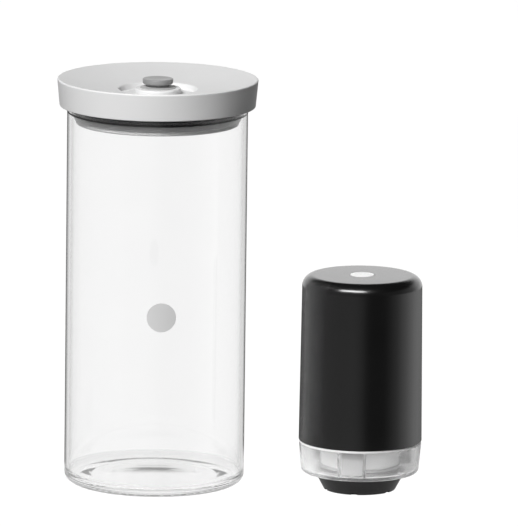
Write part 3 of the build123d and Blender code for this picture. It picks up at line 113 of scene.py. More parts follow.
def turned(name, outline, axis=JAR_AXIS, rounds=(), steps=TURN_STEPS):
    """A piece turned about an upright axis from an outline of (radius, height) points, in mm.

    The outline is closed unless it starts and ends on the axis. Rounds are (corner, radius)
    pairs."""
    points = [Vector((axis[0] + radius, axis[1], height)) * MM for radius, height in outline]
    deselect_all()
    bpy.ops.mesh.primitive_plane_add(size=MM, location=points[0])
    piece = bpy.context.object
    piece.name = name
    settle(piece)
    bpy.ops.object.mode_set(mode="EDIT")
    bpy.ops.mesh.select_mode(type="VERT")
    bpy.ops.mesh.select_all(action="SELECT")
    bpy.ops.mesh.merge(type="CENTER")
    for start, end in zip(points, points[1:]):
        bpy.ops.mesh.extrude_region_move(TRANSFORM_OT_translate={"value": end - start})
    if outline[0][0] > 0 or outline[-1][0] > 0:
        select_nearest(piece, (points[0], points[-1]))
        bpy.ops.mesh.edge_face_add()
    for (radius, height), size in rounds:
        corner = outline.index((radius, height))
        before, here, after = points[corner - 1], points[corner], points[(corner + 1) % len(points)]
        bend = (here - before).angle(after - here)
        select_nearest(piece, [here])
        offset = size * MM * math.tan(bend / 2)
        bpy.ops.mesh.bevel(offset=offset, affect="VERTICES", segments=ROUND_SEGMENTS)
    bpy.ops.mesh.select_all(action="SELECT")
    centre = (axis[0] * MM, axis[1] * MM, 0)
    bpy.ops.mesh.spin(steps=steps, angle=2 * math.pi, center=centre, axis=(0, 0, 1))
    bpy.ops.mesh.select_all(action="SELECT")
    bpy.ops.mesh.remove_doubles(threshold=MERGE_DISTANCE * MM)
    bpy.ops.mesh.normals_make_consistent(inside=False)
    bpy.ops.object.mode_set(mode="OBJECT")
    return piece


def block(name, size, middle):
    """A rectangular block, at its size and place, for cutting or joining."""
    deselect_all()
    bpy.ops.mesh.primitive_cube_add(size=1, location=middle)
    piece = bpy.context.object
    piece.name = name
    piece.scale = size
    settle(piece)
    return piece


def rod(name, radius, bottom, top, place):
    """An upright round rod at an (x, y) place, in mm, for cutting or joining."""
    deselect_all()
    middle = Vector((*place, (bottom + top) / 2)) * MM
    bpy.ops.mesh.primitive_cylinder_add(
        vertices=HOLE_STEPS, radius=radius * MM, depth=(top - bottom) * MM, location=middle
    )
    piece = bpy.context.object
    piece.name = name
    settle(piece)
    return piece


def flat_disc(name, radius, middle, rotation=(0, 0, 0)):
    """A flat round face, of a radius and a middle in mm."""
    deselect_all()
    bpy.ops.mesh.primitive_circle_add(
        vertices=DISC_STEPS, radius=radius * MM, fill_type="TRIFAN", location=middle * MM,
        rotation=rotation,
    )
    disc = bpy.context.object
    disc.name = name
    settle(disc)
    return disc


def subdivide(piece, cuts):
    take(piece)
    bpy.ops.object.mode_set(mode="EDIT")
    bpy.ops.mesh.select_all(action="SELECT")
    bpy.ops.mesh.subdivide(number_cuts=cuts)
    bpy.ops.object.mode_set(mode="OBJECT")


def select_edges(piece, wanted):
    """In edit mode, selects the edges whose two ends pass the test."""
    bpy.ops.mesh.select_all(action="DESELECT")
    bpy.ops.object.mode_set(mode="OBJECT")
    vertices = piece.data.vertices
    for edge in piece.data.edges:
        edge.select = wanted(*(vertices[end].co for end in edge.vertices))
    bpy.ops.object.mode_set(mode="EDIT")


def turned_copy(piece, angle, axis):
    """A copy of a piece, turned about an upright axis."""
    copy = piece.copy()
    copy.data = piece.data.copy()
    bpy.context.scene.collection.objects.link(copy)
    centre = Matrix.Translation((axis[0] * MM, axis[1] * MM, 0))
    copy.data.transform(centre @ Matrix.Rotation(angle, 4, "Z") @ centre.inverted())
    return copy


def joined(name, pieces):
    deselect_all()
    for piece in pieces:
        piece.select_set(True)
    bpy.context.view_layer.objects.active = pieces[0]
    bpy.ops.object.join()
    pieces[0].name = name
    return pieces[0]


def cut(piece, tool):
    """Cuts the tool out of the piece and deletes the tool."""
    finish_with(piece, "BOOLEAN", operation="DIFFERENCE", solver="EXACT", object=tool)
    bpy.data.objects.remove(tool)


def add(piece, tool):
    """Joins the tool's solid to the piece's and deletes the tool."""
    finish_with(piece, "BOOLEAN", operation="UNION", solver="EXACT", object=tool)
    bpy.data.objects.remove(tool)


def cut_air_holes(piece, ring_radius, count, radius, bottom, top):
    """Cuts a ring of round holes, in mm, round the jar's axis."""
    angles = [2 * math.pi * turn / count for turn in range(count)]
    places = [(ring_radius * math.cos(angle), ring_radius * math.sin(angle)) for angle in angles]
    rods = [rod("air_hole", radius, bottom, top, place) for place in places]
    cut(piece, joined("air_holes", rods))


def blocks_round_pump(name, size, distance, height, angles):
    """One piece made of equal blocks at a distance from the pump's axis, in mm, one per angle."""
    middle = Vector((PUMP_X + distance, PUMP_Y, height))
    copies = []
    for angle in angles:
        first = block(name, Vector(size) * MM, middle * MM)
        copies.append(turned_copy(first, math.radians(angle), PUMP_AXIS))
        bpy.data.objects.remove(first)
    return joined(name, copies)


def place(piece, body, material, slot, *nodes):
    """Gives a finished piece its material and its body, and hides the CAD nodes that it stands for.
    """
    piece.data.materials.clear()
    piece.data.materials.append(material)
    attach(piece, body)
    if nodes:
        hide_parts(*nodes)


# Shader helpers

def node(tree, kind, place=(0, 0), **settings):
    made = tree.nodes.new(kind)
    made.location = place
    for name, value in settings.items():
        setattr(made, name, value)
    return made


def link(tree, source, target):
    tree.links.new(source, target)


def new_group(name, inputs, outputs):
    """A shader node group with named sockets, and its input and output nodes."""
    group = bpy.data.node_groups.new(name, "ShaderNodeTree")
    for socket, kind, default in inputs:
        made = group.interface.new_socket(name=socket, in_out="INPUT", socket_type=kind)
        if default is not None:
            made.default_value = default
    for socket, kind in outputs:
        group.interface.new_socket(name=socket, in_out="OUTPUT", socket_type=kind)
    return group, node(group, "NodeGroupInput", (-900, 0)), node(group, "NodeGroupOutput", (700, 0))


def feed(tree, value, socket):
    """Gives a socket a number, or links it to the socket that the value is."""
    if isinstance(value, (int, float)):
        socket.default_value = value
    else:
        link(tree, value, socket)


def noise(tree, vector, scale, detail=2.0, place=(0, 0)):
    made = node(tree, "ShaderNodeTexNoise", place)
    made.inputs["Detail"].default_value = detail
    link(tree, vector, made.inputs["Vector"])
    feed(tree, scale, made.inputs["Scale"])
    return made


# Nearly all of a noise's values lie between these two
NOISE_LOW, NOISE_HIGH = 0.3, 0.7


def spread(tree, value, low, high, place=(0, 0)):
    """Maps the middle of a noise value to a range given by two sockets or numbers."""
    made = node(tree, "ShaderNodeMapRange", place)
    made.inputs["From Min"].default_value = NOISE_LOW
    made.inputs["From Max"].default_value = NOISE_HIGH
    link(tree, value, made.inputs["Value"])
    feed(tree, low, made.inputs["To Min"])
    feed(tree, high, made.inputs["To Max"])
    return made


def make_surface_group():
    """Slow colour drift, patchy gloss and fine grain, as moulded, cast and rolled surfaces have."""
    group, given, out = new_group(
        "surface_grain",
        [
            ("Place", "NodeSocketVector", None),
            ("Colour", "NodeSocketColor", (0.5, 0.5, 0.5, 1)),
            ("Other colour", "NodeSocketColor", (0.5, 0.5, 0.5, 1)),
            ("Drift scale", "NodeSocketFloat", 30.0),
            ("Grain scale", "NodeSocketFloat", 2500.0),
            ("Least roughness", "NodeSocketFloat", 0.4),
            ("Most roughness", "NodeSocketFloat", 0.5),
        ],
        [
            ("Colour", "NodeSocketColor"),
            ("Roughness", "NodeSocketFloat"),
            ("Height", "NodeSocketFloat"),
        ],
    )
    drift = noise(group, given.outputs["Place"], given.outputs["Drift scale"], 3.0, (-600, 200))
    share = spread(group, drift.outputs["Fac"], 0.0, 1.0, (-300, 200))
    colour = node(group, "ShaderNodeMix", (100, 200), data_type="RGBA")
    link(group, share.outputs["Result"], colour.inputs["Factor"])
    link(group, given.outputs["Colour"], colour.inputs["A"])
    link(group, given.outputs["Other colour"], colour.inputs["B"])
    grain = noise(group, given.outputs["Place"], given.outputs["Grain scale"], 4.0, (-600, -200))
    least, most = given.outputs["Least roughness"], given.outputs["Most roughness"]
    gloss = spread(group, grain.outputs["Fac"], least, most, (100, -200))
    link(group, colour.outputs["Result"], out.inputs["Colour"])
    link(group, gloss.outputs["Result"], out.inputs["Roughness"])
    link(group, grain.outputs["Fac"], out.inputs["Height"])
    return group


# Measures of the pieces, in mm and degrees, as the model has them. The points of the outlines
# below are (radius, height) in mm too.

JAR_RADIUS = 48.5
JAR_INNER_RADIUS = 46.3
JAR_HEIGHT = 213.0
LID_RADIUS = 54.0
LID_TOP = 220.3
DISH_DEPTH = 6.8
GROOVE_RADIUS = 21.0
BOSS_RADIUS = 12.5
BOSS_TOP = 215.0
STEM_RADIUS = 2.45
LEDGE_HEIGHT = 215.6
PLUG_FOOT = 198.2
PLUG_FLOOR = 201.1
FLANGE_RADIUS = 48.9
FLANGE_FOOT = 214.25
LIP_RADIUS = 46.32
PLUG_HOLES = {"ring_radius": 6.5, "count": 8, "radius": 1.2}
SHELL_RADIUS = 33.1
SHELL_TOP_RADIUS = 32.2
SHELL_BOTTOM = 26.8
SHELL_INNER_TOP = 114.7
PUMP_HEIGHT = 116.9
BUTTON_RADIUS = 6.5
BUTTON_TOP = 117.1
BASE_FOOT = 9.5
BASE_FLOOR = 11.5
BASE_TOP = 25.5
FRONT_ANGLE = -99
RIB_HALF_ANGLE = 13.3
PRINT_ANGLE = -85.67
PRINT_HEIGHT = 98.67
PRINT_RADIUS = 7.85
PRINT_THICKNESS = 0.04
# How far the print's face stands out from the glass
PRINT_FACE = 0.05
# Where the catches and the notches are
SIX_ANGLES = [FRONT_ANGLE + 60 * turn for turn in range(6)]


def dish_height(radius):
    return LID_TOP - DISH_DEPTH * (1 - (radius / LID_RADIUS) ** 2)


def arc_points(start, end, steps, height_at):
    """(radius, height) points of a shallow curve between two radii, ends left out."""
    radii = [start + (end - start) * step / steps for step in range(1, steps)]
    return [(radius, height_at(radius)) for radius in radii]


# Jar

def make_jar():
    floor, press_ring, punt = 4.2, 2.0, 1.4
    foot_corner = (JAR_RADIUS, 0)
    floor_corner = (JAR_INNER_RADIUS, floor)
    punt_edge = (34.0, punt)
    mouth_outer = (JAR_RADIUS, JAR_HEIGHT)
    mouth_inner = (JAR_INNER_RADIUS, JAR_HEIGHT)
    outline = [
        (0, press_ring), (22.5, press_ring), (23.5, punt), punt_edge, (38.0, 0), foot_corner,
        mouth_outer, mouth_inner, floor_corner, (0, floor),
    ]
    rounds = [
        (punt_edge, 1.2), (foot_corner, 5.5), (mouth_outer, 0.95), (mouth_inner, 0.95),
        (floor_corner, 4.0),
    ]
    jar = turned("jar", outline, JAR_AXIS, rounds)
    smooth(jar)
    return jar


def make_jar_print():
    """The plain disc printed on the jar's front, a thin patch laid on the glass."""
    angle = math.radians(PRINT_ANGLE)
    out = Vector((math.cos(angle), math.sin(angle), 0))
    middle = out * JAR_RADIUS + Vector((0, 0, PRINT_HEIGHT))
    disc = flat_disc("jar_print", PRINT_RADIUS, middle, (math.pi / 2, 0, angle + math.pi / 2))
    subdivide(disc, cuts=5)
    for vertex in disc.data.vertices:
        across = Vector((vertex.co.x, vertex.co.y, 0))
        sideways = across - out * across.dot(out)
        depth = math.sqrt(((JAR_RADIUS + PRINT_FACE) * MM) ** 2 - sideways.length_squared)
        vertex.co = sideways + out * depth + Vector((0, 0, vertex.co.z))
    finish_with(disc, "SOLIDIFY", thickness=PRINT_THICKNESS * MM, offset=-1)
    smooth(disc)
    return disc


# Lid

def make_lid_shell():
    groove_floor, groove_back = 211.6, 209.6
    skirt_bottom, skirt_inner = 205.4, 50.2
    seat_radius, rib_radius, wall = 41.2, 23.0, 2.0
    tube_radius, tube_foot, boss_ceiling, stem_bore = 10.5, 202.6, 213.0, 2.5
    groove_edge = (GROOVE_RADIUS, dish_height(GROOVE_RADIUS))
    groove_foot = (19.7, groove_floor)
    boss_top, boss_foot = (BOSS_RADIUS, BOSS_TOP), (BOSS_RADIUS, groove_floor)
    rim, skirt_foot = (LID_RADIUS, LID_TOP), (52.6, skirt_bottom)
    dish = arc_points(GROOVE_RADIUS, LID_RADIUS, steps=24, height_at=dish_height)
    outline = [
        (stem_bore, BOSS_TOP), boss_top, boss_foot, groove_foot, groove_edge, *dish, rim,
        skirt_foot, (skirt_inner, skirt_bottom), (skirt_inner, LEDGE_HEIGHT),
        (seat_radius, LEDGE_HEIGHT), (seat_radius, dish_height(seat_radius) - wall),
        (rib_radius, dish_height(rib_radius) - wall), (21.7, groove_back),
        (BOSS_RADIUS, groove_back), (BOSS_RADIUS, tube_foot),
        (tube_radius, tube_foot), (tube_radius, boss_ceiling), (stem_bore, boss_ceiling),
    ]
    rounds = [
        (boss_top, 0.9), (boss_foot, 0.8), (groove_foot, 0.8), (groove_edge, 1.1), (rim, 0.8),
        (skirt_foot, 0.5),
    ]
    shell = turned("lid_shell_turned", outline, JAR_AXIS, rounds)
    cut_air_holes(shell, ring_radius=5.6, count=6, radius=1.1, bottom=212.0, top=216.0)
    smooth(shell)
    return shell


def make_lid_plug():
    inner_radius, floor_top, floor_bottom = 41.7, 201.4, 199.4
    foot = (44.4, PLUG_FOOT)
    outline = [
        (inner_radius, LEDGE_HEIGHT), (FLANGE_RADIUS, LEDGE_HEIGHT), (FLANGE_RADIUS, FLANGE_FOOT),
        (43.5, FLANGE_FOOT), (43.5, PLUG_FLOOR), (45.6, PLUG_FLOOR), foot, (42.0, PLUG_FOOT),
        (42.0, floor_bottom), (0, floor_bottom), (0, floor_top), (inner_radius, floor_top),
    ]
    plug = turned("lid_plug_turned", outline, JAR_AXIS, [(foot, 0.5)])
    cut_air_holes(plug, bottom=198.0, top=203.0, **PLUG_HOLES)
    smooth(plug)
    return plug


def make_plug_cover():
    bottom, rib_top = 196.0, 199.3
    foot = (43.8, bottom)
    outline = [
        (0, bottom), foot, (43.8, PLUG_FOOT), (41.9, PLUG_FOOT), (41.9, rib_top), (40.9, rib_top),
        (40.9, PLUG_FOOT), (0, PLUG_FOOT),
    ]
    cover = turned("plug_cover_turned", outline, JAR_AXIS, [(foot, 1.0)])
    cut_air_holes(cover, bottom=195.0, top=199.0, **PLUG_HOLES)
    smooth(cover)
    return cover


def make_rim_gasket():
    """The gasket's four fins end in lips that lie flat on the glass."""
    inner_radius, root_radius, flange_bottom = 43.55, 44.75, 213.15
    first_fin, fin_pitch, fin_height, lip_bottom, lip_top = 201.35, 2.3, 1.3, 0.15, 1.15
    outline = [(inner_radius, PLUG_FLOOR), (root_radius, PLUG_FLOOR)]
    for fin in range(4):
        root = first_fin + fin * fin_pitch
        outline += [
            (root_radius, root), (LIP_RADIUS, root + lip_bottom), (LIP_RADIUS, root + lip_top),
            (root_radius, root + fin_height),
        ]
    flange_edge = (FLANGE_RADIUS, flange_bottom)
    outline += [
        (root_radius, flange_bottom), flange_edge, (FLANGE_RADIUS, FLANGE_FOOT),
        (inner_radius, FLANGE_FOOT),
    ]
    gasket = turned("rim_gasket_turned", outline, JAR_AXIS, [(flange_edge, 0.3)])
    smooth(gasket)
    return gasket


def make_valve_disc():
    lip_radius, lip_top, top = 9.5, 215.45, 215.9
    edge_low, edge_high = (lip_radius, BOSS_TOP), (lip_radius, lip_top)
    outline = [(STEM_RADIUS, BOSS_TOP), edge_low, edge_high, (6.3, top), (STEM_RADIUS, top)]
    disc = turned("valve_disc_turned", outline, JAR_AXIS, [(edge_low, 0.12), (edge_high, 0.15)])
    smooth(disc)
    return disc


def make_valve_knob():
    radius, bottom, top = 8.2, 217.3, 220.05
    dish_radius, dish_depth, dish_floor, socket_top = 6.9, 0.35, 219.7, 218.85
    side_low, side_high = (radius, bottom), (radius, top)
    ball = (dish_radius**2 + dish_depth**2) / (2 * dish_depth)

    def top_height(place):
        return dish_floor + ball - math.sqrt(ball**2 - place**2)

    dish = arc_points(dish_radius, 0, steps=8, height_at=top_height)
    outline = [
        (0, socket_top), (STEM_RADIUS, socket_top), (STEM_RADIUS, bottom), side_low, side_high,
        (dish_radius, top), *dish, (0, dish_floor),
    ]
    knob = turned("valve_knob_turned", outline, JAR_AXIS, [(side_low, 0.55), (side_high, 0.55)])
    smooth(knob)
    return knob


# Pump

def make_pump_shell():
    foot, shoulder = (SHELL_RADIUS, SHELL_BOTTOM), (SHELL_TOP_RADIUS, PUMP_HEIGHT)
    hole_radius = 6.6
    hole_top, inner_shoulder = (hole_radius, PUMP_HEIGHT), (30.0, SHELL_INNER_TOP)
    outline = [
        (30.9, SHELL_BOTTOM), foot, shoulder, hole_top, (hole_radius, SHELL_INNER_TOP),
        inner_shoulder,
    ]
    rounds = [(foot, 0.4), (shoulder, 6.0), (hole_top, 0.15), (inner_shoulder, 3.8)]
    shell = turned("pump_shell_turned", outline, PUMP_AXIS, rounds)
    cut(shell, make_socket_slot())
    smooth(shell)
    return shell


def make_socket_slot():
    """The round-ended slot at the back that the charging plug goes into."""
    width, depth, height, end_round = 9.9, 14, 4.2, 2.09
    distance, level = 30, 108.2
    middle = Vector((PUMP_X, PUMP_Y + distance, level))
    slot = block("socket_slot", Vector((width, depth, height)) * MM, middle * MM)
    bpy.ops.object.mode_set(mode="EDIT")
    bpy.ops.mesh.select_mode(type="EDGE")
    select_edges(slot, lambda start, end: abs(end.y - start.y) > depth / 2 * MM)
    bpy.ops.mesh.bevel(offset=end_round * MM, segments=ROUND_SEGMENTS)
    bpy.ops.object.mode_set(mode="OBJECT")
    return slot


def make_power_button():
    top_edge = (BUTTON_RADIUS, BUTTON_TOP)
    flange_radius, flange_bottom, flange_top = 8.4, 113.5, 114.6
    pin_radius, pin_bottom = 2.6, 110.9
    outline = [
        (0, pin_bottom), (pin_radius, pin_bottom), (pin_radius, flange_bottom),
        (flange_radius, flange_bottom), (flange_radius, flange_top), (BUTTON_RADIUS, flange_top),
        top_edge, (0, BUTTON_TOP),
    ]
    button = turned("power_button_turned", outline, PUMP_AXIS, [(top_edge, 0.3)], BUTTON_STEPS)
    smooth(button)
    return button


def make_clear_base():
    neck_radius = 18.8
    foot, inner_foot = (31.55, BASE_FOOT), (29.55, BASE_FLOOR)
    outline = [
        (neck_radius, BASE_FOOT), foot, (32.85, BASE_TOP), (30.85, BASE_TOP), inner_foot,
        (neck_radius, BASE_FLOOR),
    ]
    base = turned("clear_base_turned", outline, PUMP_AXIS, [(foot, 2.4), (inner_foot, 1.0)])
    rib_angles = [
        FRONT_ANGLE + side + 120 * turn
        for side in (-RIB_HALF_ANGLE, RIB_HALF_ANGLE) for turn in range(3)
    ]
    ribs = blocks_round_pump(
        "ribs", size=(8.45, 1.1, 13.0), distance=26.325, height=18.0, angles=rib_angles
    )
    add(base, ribs)
    catches = blocks_round_pump(
        "catches", size=(2.8, 3.0, 1.2), distance=28.15, height=12.1, angles=SIX_ANGLES
    )
    add(base, catches)
    smooth(base)
    return base


def make_suction_cup():
    inner_radius, neck_radius, collar_radius = 16.9, 18.7, 21.0
    body_top, collar_bottom, collar_top = 9.3, 11.5, 12.9
    lip, top_edge = (19.2, 0), (24.2, body_top)
    outline = [
        (inner_radius, 0), lip, top_edge, (neck_radius, body_top), (neck_radius, collar_bottom),
        (collar_radius, collar_bottom), (collar_radius, collar_top), (inner_radius, collar_top),
        (inner_radius, body_top), (20.8, 7.5),
    ]
    cup = turned("suction_cup_turned", outline, PUMP_AXIS, [(lip, 0.4), (top_edge, 0.4)])
    notches = blocks_round_pump(
        "notches", size=(2.3, 3.2, 2.1), distance=19.05, height=0.05, angles=SIX_ANGLES
    )
    cut(cup, notches)
    smooth(cup)
    return cup


# Materials

surface_group = make_surface_group()

# How deep a bump goes in mm, for the grain of plain surfaces and for the waves in clear ones
GRAIN_DEPTH = 0.05
WAVE_DEPTH = 0.2
# Waves in clear pieces are drawn out upwards, as blowing and moulding draw them
WAVE_STRETCH = (1, 1, 0.15)
# How fine the wear of clear pieces is, how much it dims them, and how much light they let through
# where they cast a shadow
WEAR_SCALE = 45.0
WORN_TINT = 0.985
SHADOW_TINT = 0.94


def empty_material(name):
    material = bpy.data.materials.new(name)
    material.use_nodes = True
    tree = material.node_tree
    tree.nodes.clear()
    return material, tree, node(tree, "ShaderNodeOutputMaterial", (900, 0))


def new_material(name):
    material, tree, output = empty_material(name)
    shader = node(tree, "ShaderNodeBsdfPrincipled", (500, 0))
    link(tree, shader.outputs["BSDF"], output.inputs["Surface"])
    place_node = node(tree, "ShaderNodeTexCoord", (-700, 0))
    return material, tree, shader, output, place_node.outputs["Object"]


def add_bump(tree, shader, height, strength, depth):
    bump = node(tree, "ShaderNodeBump", (200, -300))
    bump.inputs["Strength"].default_value = strength
    bump.inputs["Distance"].default_value = depth * MM
    link(tree, height, bump.inputs["Height"])
    link(tree, bump.outputs["Normal"], shader.inputs["Normal"])


def show_mix(tree, output, factor, first, second):
    """Shows the first shader where the factor is 0 and the second where it's 1."""
    mixed = node(tree, "ShaderNodeMixShader", (750, 100))
    link(tree, factor, mixed.inputs["Fac"])
    link(tree, first, mixed.inputs[1])
    link(tree, second, mixed.inputs[2])
    link(tree, mixed.outputs["Shader"], output.inputs["Surface"])


def make_material(
    look, colour, other, rough, drift=30.0, grain=2500.0, relief=0.03, specular=0.5, metallic=0.0
):
    """A plain surface with the shared drift, gloss and grain. A colour may be given as one grey."""
    material, tree, shader, _output, object_place = new_material(f"{look}_look")
    surface = node(tree, "ShaderNodeGroup", (-300, 0), node_tree=surface_group)
    link(tree, object_place, surface.inputs["Place"])
    surface.inputs["Colour"].default_value = (*as_colour(colour), 1)
    surface.inputs["Other colour"].default_value = (*as_colour(other), 1)
    surface.inputs["Drift scale"].default_value = drift
    surface.inputs["Grain scale"].default_value = grain
    surface.inputs["Least roughness"].default_value = rough[0]
    surface.inputs["Most roughness"].default_value = rough[1]
    link(tree, surface.outputs["Colour"], shader.inputs["Base Color"])
    link(tree, surface.outputs["Roughness"], shader.inputs["Roughness"])
    shader.inputs["Specular IOR Level"].default_value = specular
    shader.inputs["Metallic"].default_value = metallic
    add_bump(tree, shader, surface.outputs["Height"], relief, GRAIN_DEPTH)
    return material


def make_clear_material(look, tone, ior, rough, wave_scale, wave_relief, clearness=1.0):
    """Glass or clear plastic, a little wavy, that lets the light through to what lies behind."""
    material, tree, shader, output, object_place = new_material(f"{look}_look")
    stretch = node(tree, "ShaderNodeMapping", (-500, -300))
    stretch.inputs["Scale"].default_value = WAVE_STRETCH
    link(tree, object_place, stretch.inputs["Vector"])
    wave = noise(tree, stretch.outputs["Vector"], wave_scale, 1.0, (-300, -300))
    add_bump(tree, shader, wave.outputs["Fac"], wave_relief, WAVE_DEPTH)
    wear = noise(tree, object_place, WEAR_SCALE, 3.0, (-300, 100))
    gloss = spread(tree, wear.outputs["Fac"], rough[0], rough[1], (0, 100))
    link(tree, gloss.outputs["Result"], shader.inputs["Roughness"])
    tint = node(tree, "ShaderNodeMix", (200, 250), data_type="RGBA")
    tint.inputs["A"].default_value = (*as_colour(tone), 1)
    tint.inputs["B"].default_value = (*as_colour(tone * WORN_TINT), 1)
    link(tree, wear.outputs["Fac"], tint.inputs["Factor"])
    link(tree, tint.outputs["Result"], shader.inputs["Base Color"])
    shader.inputs["Transmission Weight"].default_value = clearness
    shader.inputs["IOR"].default_value = ior
    clear = node(tree, "ShaderNodeBsdfTransparent", (500, 200))
    clear.inputs["Color"].default_value = (*as_colour(SHADOW_TINT), 1)
    ray = node(tree, "ShaderNodeLightPath", (300, 500))
    show_mix(
        tree, output, ray.outputs["Is Shadow Ray"], shader.outputs["BSDF"], clear.outputs["BSDF"]
    )
    return material


def as_colour(value):
    return (value, value, value) if isinstance(value, float) else value


# What differs from look to look: two colours to drift between, the least and the most roughness,
# and the settings that aren't as usual
PLAIN_LOOKS = {
    "white_plastic": (0.72, 0.7, (0.48, 0.58), {"specular": 0.35}),
    # The plug cover's look is a darker copy of the white plastic: painted shade for the shadow that
    # the lid's skirt casts on the cover
    "skirt_shaded_white_plastic": (0.42, 0.4, (0.45, 0.55), {}),
    "grey_plastic": (0.24, 0.22, (0.32, 0.45), {}),
    "light_plastic": (0.86, 0.83, (0.4, 0.5), {}),
    "light_button": (0.85, 0.82, (0.25, 0.35), {}),
    "black_plastic": (0.004, 0.006, (0.2, 0.26), {}),
    "dark_plastic": (0.03, 0.04, (0.4, 0.55), {}),
    "black_silicone": (0.008, 0.011, (0.45, 0.6), {"specular": 0.2}),
    "grey_silicone": (0.42, 0.39, (0.45, 0.6), {}),
    "cup_silicone": (0.012, 0.016, (0.4, 0.5), {"specular": 0.2}),
    "filter_felt": (0.7, 0.6, (0.9, 1.0), {"drift": 400.0, "grain": 3500.0, "relief": 0.4}),
    "steel": (
        0.6, 0.55, (0.22, 0.34), {"drift": 80.0, "grain": 1500.0, "relief": 0.05, "metallic": 1.0}
    ),
    "copper": (
        (0.72, 0.38, 0.22), (0.6, 0.3, 0.17), (0.25, 0.4),
        {"drift": 300.0, "grain": 1500.0, "relief": 0.1, "metallic": 1.0},
    ),
    "magnet": (0.07, 0.05, (0.5, 0.65), {"drift": 200.0, "grain": 1800.0, "relief": 0.15}),
    "board_green": ((0.02, 0.14, 0.06), (0.015, 0.11, 0.045), (0.3, 0.4), {"drift": 500.0}),
    "cell_wrap": ((0.05, 0.16, 0.3), (0.045, 0.14, 0.27), (0.25, 0.35), {"drift": 60.0}),
    "jar_print": (0.68, 0.66, (0.5, 0.6), {}),
}
# Tone, index of refraction, least and most roughness, scale and relief of the waves, and
# clearness where it isn't full
CLEAR_LOOKS = {
    "clear_glass": (0.985, 1.47, (0.0, 0.012), 60.0, 0.006),
    "clear_plastic": (0.98, 1.5, (0.09, 0.15), 120.0, 0.1, 0.86),
    "clear_silicone": (0.9, 1.42, (0.2, 0.35), 200.0, 0.1),
}
materials = {
    look: make_material(look, colour, other, rough, **settings)
    for look, (colour, other, rough, settings) in PLAIN_LOOKS.items()
}
for look, values in CLEAR_LOOKS.items():
    materials[look] = make_clear_material(look, *values)

# Finished pieces

# How each is made, its body, its look, its slot and the model's nodes that it stands for
pieces = [
    (make_jar, "jar", "clear_glass", "clear_glass", ["glass_jar"]),
    (make_jar_print, "jar", "jar_print", "light_plastic", []),
    (make_lid_shell, "lid", "white_plastic", "white_plastic", ["lid_shell"]),
    (make_lid_plug, "lid", "grey_plastic", "grey_plastic", ["lid_plug"]),
    # The cover is white plastic, and its darker look is painted shade from the lid's skirt
    (make_plug_cover, "lid", "skirt_shaded_white_plastic", "white_plastic", ["plug_cover"]),
    (make_rim_gasket, "lid", "black_silicone", "black_silicone", ["rim_gasket"]),
    (make_valve_disc, "release_valve", "grey_silicone", "grey_silicone", ["valve_disc"]),
    (make_valve_knob, "release_valve", "grey_plastic", "grey_plastic", ["valve_knob"]),
    (make_pump_shell, "pump", "black_plastic", "black_plastic", ["pump_shell"]),
    (make_power_button, "button", "light_button", "light_button", ["power_button"]),
    (make_clear_base, "pump", "clear_plastic", "clear_plastic", ["clear_base"]),
    (make_suction_cup, "pump", "cup_silicone", "cup_silicone", ["suction_cup"]),
]
for make, body, look, slot, nodes in pieces:
    place(make(), body, materials[look], slot, *nodes)

# The model's own solids that stay as they are take the same looks
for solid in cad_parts.values():
    for own_slot in solid.material_slots:
        look = own_slot.material.name.split(".")[0]
        own_slot.material = materials[look]


# Floor, surroundings, lights and camera

def ramp(tree, value, stops, place=(0, 0)):
    """A smooth ramp of greys from (position, grey) stops."""
    made = node(tree, "ShaderNodeValToRGB", place)
    made.color_ramp.interpolation = "EASE"
    elements = made.color_ramp.elements
    while len(elements) < len(stops):
        elements.new(0.5)
    for element, (position, _tone) in zip(elements, stops):
        element.position = position
    for element, (_position, tone) in zip(elements, stops):
        element.color = (tone, tone, tone, 1)
    link(tree, value, made.inputs["Fac"])
    return made


def make_floor_material(name, glow):
    material, tree, shader, output, object_place = new_material(name)
    drift = noise(tree, object_place, FLOOR_DRIFT_SCALE, 2.0, (-400, 100))
    tone = ramp(tree, drift.outputs["Fac"], list(zip((0.0, 1.0), FLOOR_TONES)), (-100, 100))
    link(tree, tone.outputs["Color"], shader.inputs["Base Color"])
    shader.inputs["Roughness"].default_value = FLOOR_ROUGHNESS
    shader.inputs["Specular IOR Level"].default_value = 0.0
    shader.inputs["Emission Color"].default_value = (1, 1, 1, 1)
    shader.inputs["Emission Strength"].default_value = glow
    return material, tree, shader, output, object_place


def make_floor():
    """The white floor, which only the camera sees."""
    deselect_all()
    bpy.ops.mesh.primitive_plane_add(size=FLOOR_SIZE, location=(0, 0, FLOOR_HEIGHT * MM))
    floor = bpy.context.object
    floor.name = "studio_floor"
    settle(floor)
    subdivide(floor, cuts=3)
    floor.data.materials.append(make_floor_material("studio_floor_look", FLOOR_GLOW)[0])
    floor.visible_diffuse = False
    floor.visible_glossy = False
    floor.visible_transmission = False


def make_near_floor(name, axis, radius, height, glow, fade, lights_up):
    """The floor close round a piece, as the piece mirrors it. It fades out over a share of the way
    in from its edge, and the camera doesn't see it."""
    middle = Vector((*axis, height))
    disc = flat_disc(name, radius, middle)
    material, tree, shader, output, object_place = make_floor_material(f"{name}_look", glow)
    centred = node(tree, "ShaderNodeMapping", (-500, 500))
    centred.inputs["Location"].default_value = -middle / radius
    centred.inputs["Scale"].default_value = (1 / (radius * MM),) * 3
    link(tree, object_place, centred.inputs["Vector"])
    nearness = node(tree, "ShaderNodeTexGradient", (-300, 500), gradient_type="SPHERICAL")
    link(tree, centred.outputs["Vector"], nearness.inputs["Vector"])
    shown = step_up(tree, nearness.outputs["Fac"], 0.0, fade, (-100, 500))
    clear = node(tree, "ShaderNodeBsdfTransparent", (500, 300))
    show_mix(tree, output, shown, clear.outputs["BSDF"], shader.outputs["BSDF"])
    disc.data.materials.append(material)
    disc.visible_camera = False
    disc.visible_diffuse = lights_up


